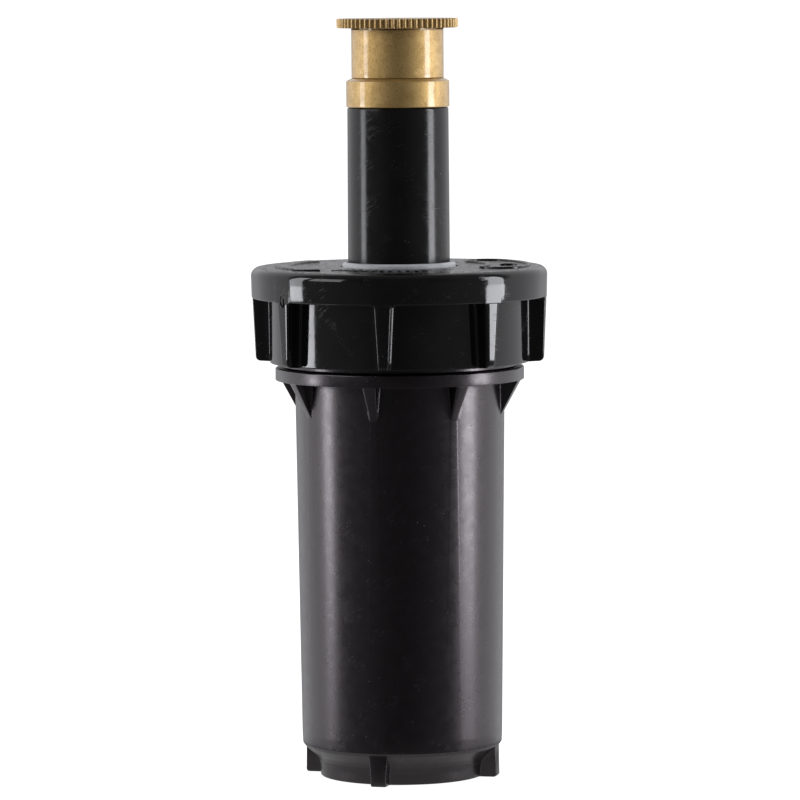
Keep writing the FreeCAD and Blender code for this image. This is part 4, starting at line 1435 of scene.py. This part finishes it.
@dataclass
class Nozzle:
    """The brass nozzle: collar with a cone and hollow stem, and the knurled sleeve on the stem."""

    collar_radius: float = 9.88
    collar_bottom: float = 128.7
    collar_top: float = 133.7
    collar_bore: float = 8.35
    cone: tuple[float, float] = (8.0, 134.6)
    stem_radius: float = 7.0
    stem_bore: float = 5.8
    stem_top: float = 143.55
    step_floor: float = 141.0
    step_depth: float = 1.2
    shelf: float = 133.1
    hub: tuple[float, float] = (1.65, 3.0)
    sleeve_radius: float = 8.84
    sleeve_bore: float = 7.1
    sleeve_bottom: float = 134.28
    disc_bottom: float = 143.8
    disc_top: float = 145.6
    disc_radius: float = 11.65
    disc_fillet: float = 0.22
    slot_height: float = 0.35
    slot_depth: float = 1.25
    well: tuple[float, float] = (2.9, 140.7)
    knurl_count: int = 65
    knurl_depth: float = 0.42
    brass_sharp: float = 32.0

    def stepped(self, r: Array, z: Array, angle: Array) -> tuple[Array, Array]:
        """Lowers the stem's rim over the front half; heights above the step's floor shrink.

        Args:
            r: grid of radius.
            z: grid of height.
            angle: grid of angle in radians.

        Returns:
            The changed grids of radius and height.
        """
        floor = self.step_floor
        above = (z > floor) & (r < self.stem_radius + 0.01)
        shrink = 1 - self.step_depth / (self.stem_top - floor) * front_half(angle)
        return r, np.where(above, floor + (z - floor) * shrink, z)

    def collar(self, palette: Palette) -> bpy.types.Object:
        """Builds the collar, stem, hub and the webs that hold the hub.

        Args:
            palette: the materials.

        Returns:
            The piece, riding on the riser.
        """
        groove = self.stem_radius - 0.55
        body = turned_shell([
            Corner(self.collar_bore, self.collar_bottom, 0.1),
            Corner(self.collar_radius, self.collar_bottom, 0.22),
            Corner(self.collar_radius, self.collar_top, 0.18),
            Corner(*self.cone, 0.12),
            Corner(self.stem_radius, self.cone[1] + 0.1, 0.1),
            Corner(self.stem_radius, 136.0, 0.05),
            Corner(groove, 136.0, 0.05),
            Corner(groove, 137.0, 0.05),
            Corner(self.stem_radius, 137.0, 0.05),
            Corner(self.stem_radius, 139.35, 0.05),
            Corner(groove + 0.15, 139.35, 0.05),
            Corner(groove + 0.15, 140.05, 0.05),
            Corner(self.stem_radius, 140.05, 0.05, 3),
            Corner(self.stem_radius, self.stem_top, 0.1),
            Corner(self.stem_bore, self.stem_top, 0.1, 4),
            Corner(self.stem_bore, self.shelf, 0.1),
            Corner(self.collar_bore, self.shelf, 0.1),
        ], columns=192, alter=self.stepped)
        inner, outer = self.hub
        low, high = self.shelf + 1.3, self.shelf + 5.2
        hub = turned_shell([
            Corner(inner, low), Corner(outer, low), Corner(outer, high), Corner(inner, high),
        ], columns=48)
        shells = [body, hub]
        reach = np.array([outer - 0.3, self.stem_bore + 0.3])
        block = np.array([[-0.6, 0.0], [0.6, 0.0], [0.6, 2.8], [0.0, 3.1], [-0.6, 2.8]])
        section = np.stack([block] * 2)
        up = np.array([[0.0, 0.0, 1.0]] * 2)
        for degrees in (30.0, 150.0, 270.0):
            ends = on_circle(reach, np.full(2, degrees))
            path = np.column_stack([ends, [low + 0.3, low + 0.3]])
            ahead = along_path(path, closed=False)
            shells.append(carried_shell(path, np.cross(ahead, up), up, section, closed=False))
        piece = add_piece(
            "collar_turning", shells, palette, Slot.BRASS, "nozzle_base", self.brass_sharp)
        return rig.ride(piece, Body.RISER.value)

    def knurled(self, r: Array, z: Array, angle: Array) -> tuple[Array, Array]:
        """Cuts the knurl and the spray slot.

        The disc's radius is limited to R - depth (0.5 - 0.5 cos(n a))^1.4, with n the number of
        teeth, and the rows inside the slot move inwards by the slot's depth over the front half.

        Args:
            r: grid of radius.
            z: grid of height.
            angle: grid of angle in radians.

        Returns:
            The changed grids of radius and height.
        """
        valley = (0.5 - 0.5 * np.cos(angle * self.knurl_count)) ** 1.4
        r = np.minimum(r, self.disc_radius - self.knurl_depth * valley)
        top, bottom = self.disc_bottom - 0.012, self.disc_bottom - self.slot_height + 0.012
        in_slot = (np.abs(r - self.sleeve_radius) < ON_WALL) & (z < top) & (z > bottom)
        return np.where(in_slot, r - self.slot_depth * front_half(angle), r), z

    def sleeve(self, palette: Palette) -> bpy.types.Object:
        """Builds the knurled sleeve.

        Args:
            palette: the materials.

        Returns:
            The piece, riding on the sleeve's body.
        """
        under, slot = self.disc_bottom, self.disc_bottom - self.slot_height
        outside, bore = self.sleeve_radius, self.sleeve_bore
        well_radius, well_bottom = self.well
        tight = 0.004
        shell = turned_shell([
            Corner(well_radius, self.disc_top, 0.2, 3),
            Corner(self.disc_radius, self.disc_top, self.disc_fillet, 2),
            Corner(self.disc_radius, under, self.disc_fillet, 2),
            Corner(outside, under, tight),
            Corner(outside, under - 0.05, tight, 3),
            Corner(outside, slot + 0.05, tight),
            Corner(outside, slot, 0.04, 8),
            Corner(outside, self.sleeve_bottom, 0.04),
            Corner(self.cone[0], self.sleeve_bottom + 0.67, 0.1),
            Corner(bore, self.sleeve_bottom + 0.67, 0.1, 2),
            Corner(bore, 139.3, 0.05),
            Corner(bore + 0.35, 139.3, 0.05),
            Corner(bore + 0.35, 140.1, 0.05),
            Corner(bore, 140.1, 0.05, 2),
            Corner(bore, under, 0.1),
            Corner(well_radius + 1.2, under, 0.1, 2),
            Corner(well_radius + 1.2, well_bottom - 0.9, 0.2),
            Corner(1.75, well_bottom - 0.9, 0.05),
            Corner(1.75, well_bottom, 0.05),
            Corner(well_radius, well_bottom, 0.2, 2),
        ], columns=self.knurl_count * 10, alter=self.knurled)
        piece = add_piece(
            "sleeve_turning", [shell], palette, Slot.BRASS, "arc_sleeve", self.brass_sharp)
        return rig.ride(piece, Body.SLEEVE.value)

    def build(self, palette: Palette) -> list[bpy.types.Object]:
        """Builds both brass pieces."""
        return [self.collar(palette), self.sleeve(palette)]


@dataclass
class RetractSpring:
    """The spring between the ratchet ring and the retainer, which stretches as the riser drops."""

    radius: float = 13.6
    wire: float = 0.6
    turns: float = 9.0
    bottom: float = 69.4
    top: float = 92.4
    dead_turns: float = 0.8
    seat_gap: float = 0.02
    turn_steps: int = 40

    def build(self, palette: Palette) -> list[bpy.types.Object]:
        """Builds the coil, a wire on a helix.

        It rises one wire's thickness a turn over the closed turns at each end, and evenly between.

        Args:
            palette: the materials.

        Returns:
            The coil, stretching between the head and the ratchet ring.
        """
        turn = np.linspace(0, self.turns, int(self.turns * self.turn_steps) + 1)
        flat, thick = self.dead_turns, 2 * self.wire
        rise = np.clip((turn - flat) / (self.turns - 2 * flat), 0, 1)
        low, high = self.bottom + self.wire + self.seat_gap, self.top - self.wire - self.seat_gap
        closed = np.minimum(turn, flat) - np.minimum(self.turns - turn, flat)
        height = low + thick * (closed + flat) + rise * (high - low - 2 * thick * flat)
        angle = 2 * math.pi * turn
        path = about_axis(np.full_like(turn, self.radius), height, angle)
        shell = wire_shell(path, angle, self.wire, sides=12, closed=False)
        coil = add_piece(
            "spring_coil", [shell], palette, Slot.SPRING_STEEL, "retract_spring", sharp=60.0)
        high_end, low_end = (0, 0, self.top * MM), (0, 0, self.bottom * MM)
        return [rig.blend(coil, Body.HEAD.value, Body.RATCHET.value, start=high_end, end=low_end)]


@dataclass
class InnerParts:
    """The pieces whose CAD shapes stay: each gets the finish of its slot."""

    slots: dict[str, Slot] = field(default_factory=lambda: {
        "seal_retainer": Slot.ACETAL,
        "rim_gasket": Slot.BLACK_RUBBER,
        "ratchet_ring": Slot.ACETAL,
        "nozzle_washer": Slot.BLACK_RUBBER,
        "sleeve_o_ring": Slot.BLACK_RUBBER,
        "sleeve_snap_ring": Slot.SPRING_STEEL,
        "filter_frame": Slot.FILTER_PLASTIC,
        "filter_mesh": Slot.FILTER_MESH,
        "flow_screw": Slot.SPRING_STEEL,
        "screw_o_ring": Slot.BLACK_RUBBER,
        "throttle_disc": Slot.ACETAL,
    })

    def build(self, palette: Palette) -> list[bpy.types.Object]:
        """Dresses the CAD nodes and returns them.

        Args:
            palette: the materials.

        Returns:
            The nodes.
        """
        nodes = [frame["nodes"][name] for name in self.slots]
        for node, slot in zip(nodes, self.slots.values()):
            palette.dress(node.data, slot)
        return nodes


# ---- studio --------------------------------------------------------------------------------------

@dataclass
class Strip:
    """A tall softbox beside the head.

    Attributes:
        side: angle from the front towards +X.
        span: angle that its width covers, seen from the head.
        low: height of its lower edge.
        high: height of its upper edge.
        radiance: how bright its face is.
        tint: its colour.
        distance: from the axis.
    """

    side: float
    span: float
    low: float
    high: float
    radiance: float
    tint: Colour = (0.95, 0.96, 1.0)
    distance: float = 900.0

    def build(self, name: str) -> None:
        """Adds the light, with power = pi x radiance x area, facing the axis.

        Args:
            name: the light's name.
        """
        width = 2 * self.distance * math.tan(math.radians(self.span / 2)) * MM
        height = (self.high - self.low) * MM
        light = bpy.data.lights.new(name, type="AREA")
        light.shape = "RECTANGLE"
        light.size, light.size_y = width, height
        light.energy = math.pi * self.radiance * width * height
        light.color = self.tint
        lamp = put_in_scene(name, light)
        turn = math.radians(self.side)
        x, y = math.sin(turn) * self.distance, -math.cos(turn) * self.distance
        middle = (self.low + self.high) / 2
        upright = Matrix.Rotation(turn, 4, "Z") @ Matrix.Rotation(math.radians(90), 4, "X")
        lamp.matrix_world = Matrix.Translation((x * MM, y * MM, middle * MM)) @ upright
        lamp.visible_camera = False


@dataclass
class Studio:
    """Pale floor, softboxes, a room that is dim in front, and the camera.

    A tall softbox stands on each side of the head. Each is two strips, one above the other, and the
    lower one is brighter. A fifth strip, high on the left, is there for the brass.
    """

    camera_distance: float = 1044.0
    camera_height: float = 157.2
    camera_pitch: float = 4.646
    camera_roll: float = -0.42
    camera_lens: float = 245.07
    floor_size: float = 60.0
    glow_start: float = 24.0
    glow_radius: float = 46.0
    glow: float = 0.42
    room_levels: tuple[tuple[float, float], ...] = (
        (0.0, 0.06), (0.03, 0.08), (0.1, 0.13), (0.25, 0.17), (0.45, 0.2), (0.52, 0.9),
        (0.75, 0.88), (0.9, 0.82), (0.94, 0.65), (0.97, 0.46), (1.0, 0.44),
    )
    ceiling_shift: float = -0.5
    strips: tuple[Strip, ...] = (
        Strip(side=-86.0, span=12.0, low=-75.0, high=36.0, radiance=9.5),
        Strip(side=80.0, span=18.0, low=-75.0, high=50.0, radiance=10.5),
        Strip(side=-86.0, span=13.0, low=36.0, high=700.0, radiance=4.6),
        Strip(side=80.0, span=16.0, low=50.0, high=700.0, radiance=7.5),
        Strip(side=-60.0, span=28.0, low=260.0, high=700.0, radiance=2.8, tint=WHITE),
    )

    def camera(self) -> None:
        """Sets the camera in front of the head and above it, looking down and slightly rolled."""
        lens = bpy.data.cameras.new("camera")
        lens.lens = self.camera_lens
        lens.sensor_width = 36.0
        lens.clip_start, lens.clip_end = 0.05, 200.0
        camera = put_in_scene("camera", lens)
        tilt = Matrix.Rotation(math.radians(90 - self.camera_pitch), 4, "X")
        roll = Matrix.Rotation(math.radians(self.camera_roll), 4, "Z")
        place = Matrix.Translation((0.0, -self.camera_distance * MM, self.camera_height * MM))
        camera.matrix_world = place @ tilt @ roll
        bpy.context.scene.camera = camera

    def floor(self) -> None:
        """A large level floor that only the camera sees, and a small glow that only lights."""
        half, glow = self.floor_size / 2, self.glow_radius * MM
        corners = [(-half, -half, 0.0), (half, -half, 0.0), (half, half, 0.0), (-half, half, 0.0)]
        rim = on_circle(glow, np.linspace(0, 360, 64, endpoint=False))
        disc = np.column_stack([rim, np.full(len(rim), -0.2 * MM)]).tolist()
        pale = FinishSheet("pale_floor")
        pale.connect(Base_Color=(0.8, 0.8, 0.8, 1.0), Roughness=0.9, Specular_IOR_Level=0.0)
        pale.connect(Emission_Color=(*WHITE, 1.0), Emission_Strength=0.85)
        bright = FinishSheet("floor_glow")
        length = bright.add("ShaderNodeVectorMath", {0: bright.place}, operation="LENGTH")
        away = length.outputs["Value"]
        fading = bright.spread(away, self.glow_start, self.glow_radius, self.glow, 0.0)
        bright.connect(Base_Color=(0.0, 0.0, 0.0, 1.0), Specular_IOR_Level=0.0)
        bright.connect(Emission_Color=(*WHITE, 1.0), Emission_Strength=fading)
        planes = (("floor", corners, pale, True), ("glow", disc, bright, False))
        for name, points, sheet, seen in planes:
            mesh = bpy.data.meshes.new(name)
            mesh.from_pydata(points, [], [tuple(range(len(points)))])
            mesh.materials.append(sheet.material)
            plane = put_in_scene(name, mesh)
            plane.visible_camera = seen
            plane.visible_glossy = plane.visible_diffuse = not seen
            plane.visible_transmission = not seen
            plane.visible_shadow = False
            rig.stage(plane)

    def room(self) -> None:
        """A room that is dim in front and pale behind, white to the camera.

        Its brightness goes by y + shift z from the front, -1, to the back, 1, over the levels.
        """
        world = bpy.data.worlds.new("room")
        bpy.context.scene.world = world
        world.use_nodes = True
        sheet = NodeSheet(world.node_tree)
        way = sheet.add("ShaderNodeTexCoord", {}).outputs["Generated"]
        parts = sheet.add("ShaderNodeSeparateXYZ", {0: way}).outputs
        lift = sheet.math("MULTIPLY", sheet.math("MAXIMUM", parts["Z"], 0.0), self.ceiling_shift)
        depth = sheet.math("ADD", parts["Y"], lift)
        shade = sheet.add("ShaderNodeValToRGB", {0: sheet.spread(depth, -1.0, 1.0)})
        band = shade.color_ramp
        for position, _ in self.room_levels[1:-1]:
            band.elements.new(position)
        for element, (_, level) in zip(band.elements, self.room_levels):
            element.color = (level, level, level * 1.03, 1.0)
        dim = sheet.add("ShaderNodeBackground", {"Color": shade.outputs[0]}).outputs[0]
        white = sheet.add("ShaderNodeBackground", {"Color": (*WHITE, 1.0)}).outputs[0]
        seen = sheet.add("ShaderNodeLightPath", {}).outputs["Is Camera Ray"]
        both = sheet.add("ShaderNodeMixShader", {0: seen, 1: dim, 2: white}).outputs[0]
        sheet.add("ShaderNodeOutputWorld", {"Surface": both})

    def build(self) -> None:
        """Sets up the camera, the floor, the room and the lights."""
        self.camera()
        self.floor()
        self.room()
        for number, strip in enumerate(self.strips):
            strip.build(f"strip_{number}")
        bpy.context.scene.view_settings.view_transform = "Standard"


def write_sizes() -> None:
    """Writes the CAD model's box and the visual model's box, in metres."""
    boxes = {"cad": CAD_BOX, "visual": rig.bounds()}
    plain = {name: [list(low), list(high)] for name, (low, high) in boxes.items()}
    with open(SIZE_FILE, "w") as out:
        json.dump(plain, out)


def main() -> None:
    """Builds the sub-assemblies in order, then the studio."""
    logging.basicConfig(level=logging.INFO, format="%(message)s")
    palette = Palette()
    assemblies = (Case(), Cap(), Wiper(), Riser(), Nozzle(), RetractSpring(), InnerParts())
    for assembly in assemblies:
        for piece in assembly.build(palette):
            count = len(piece.data.polygons)
            log.info("%s: %s, %d faces", type(assembly).__name__, piece.name, count)
    Studio().build()
    write_sizes()


if __name__ == "__main__":
    main()
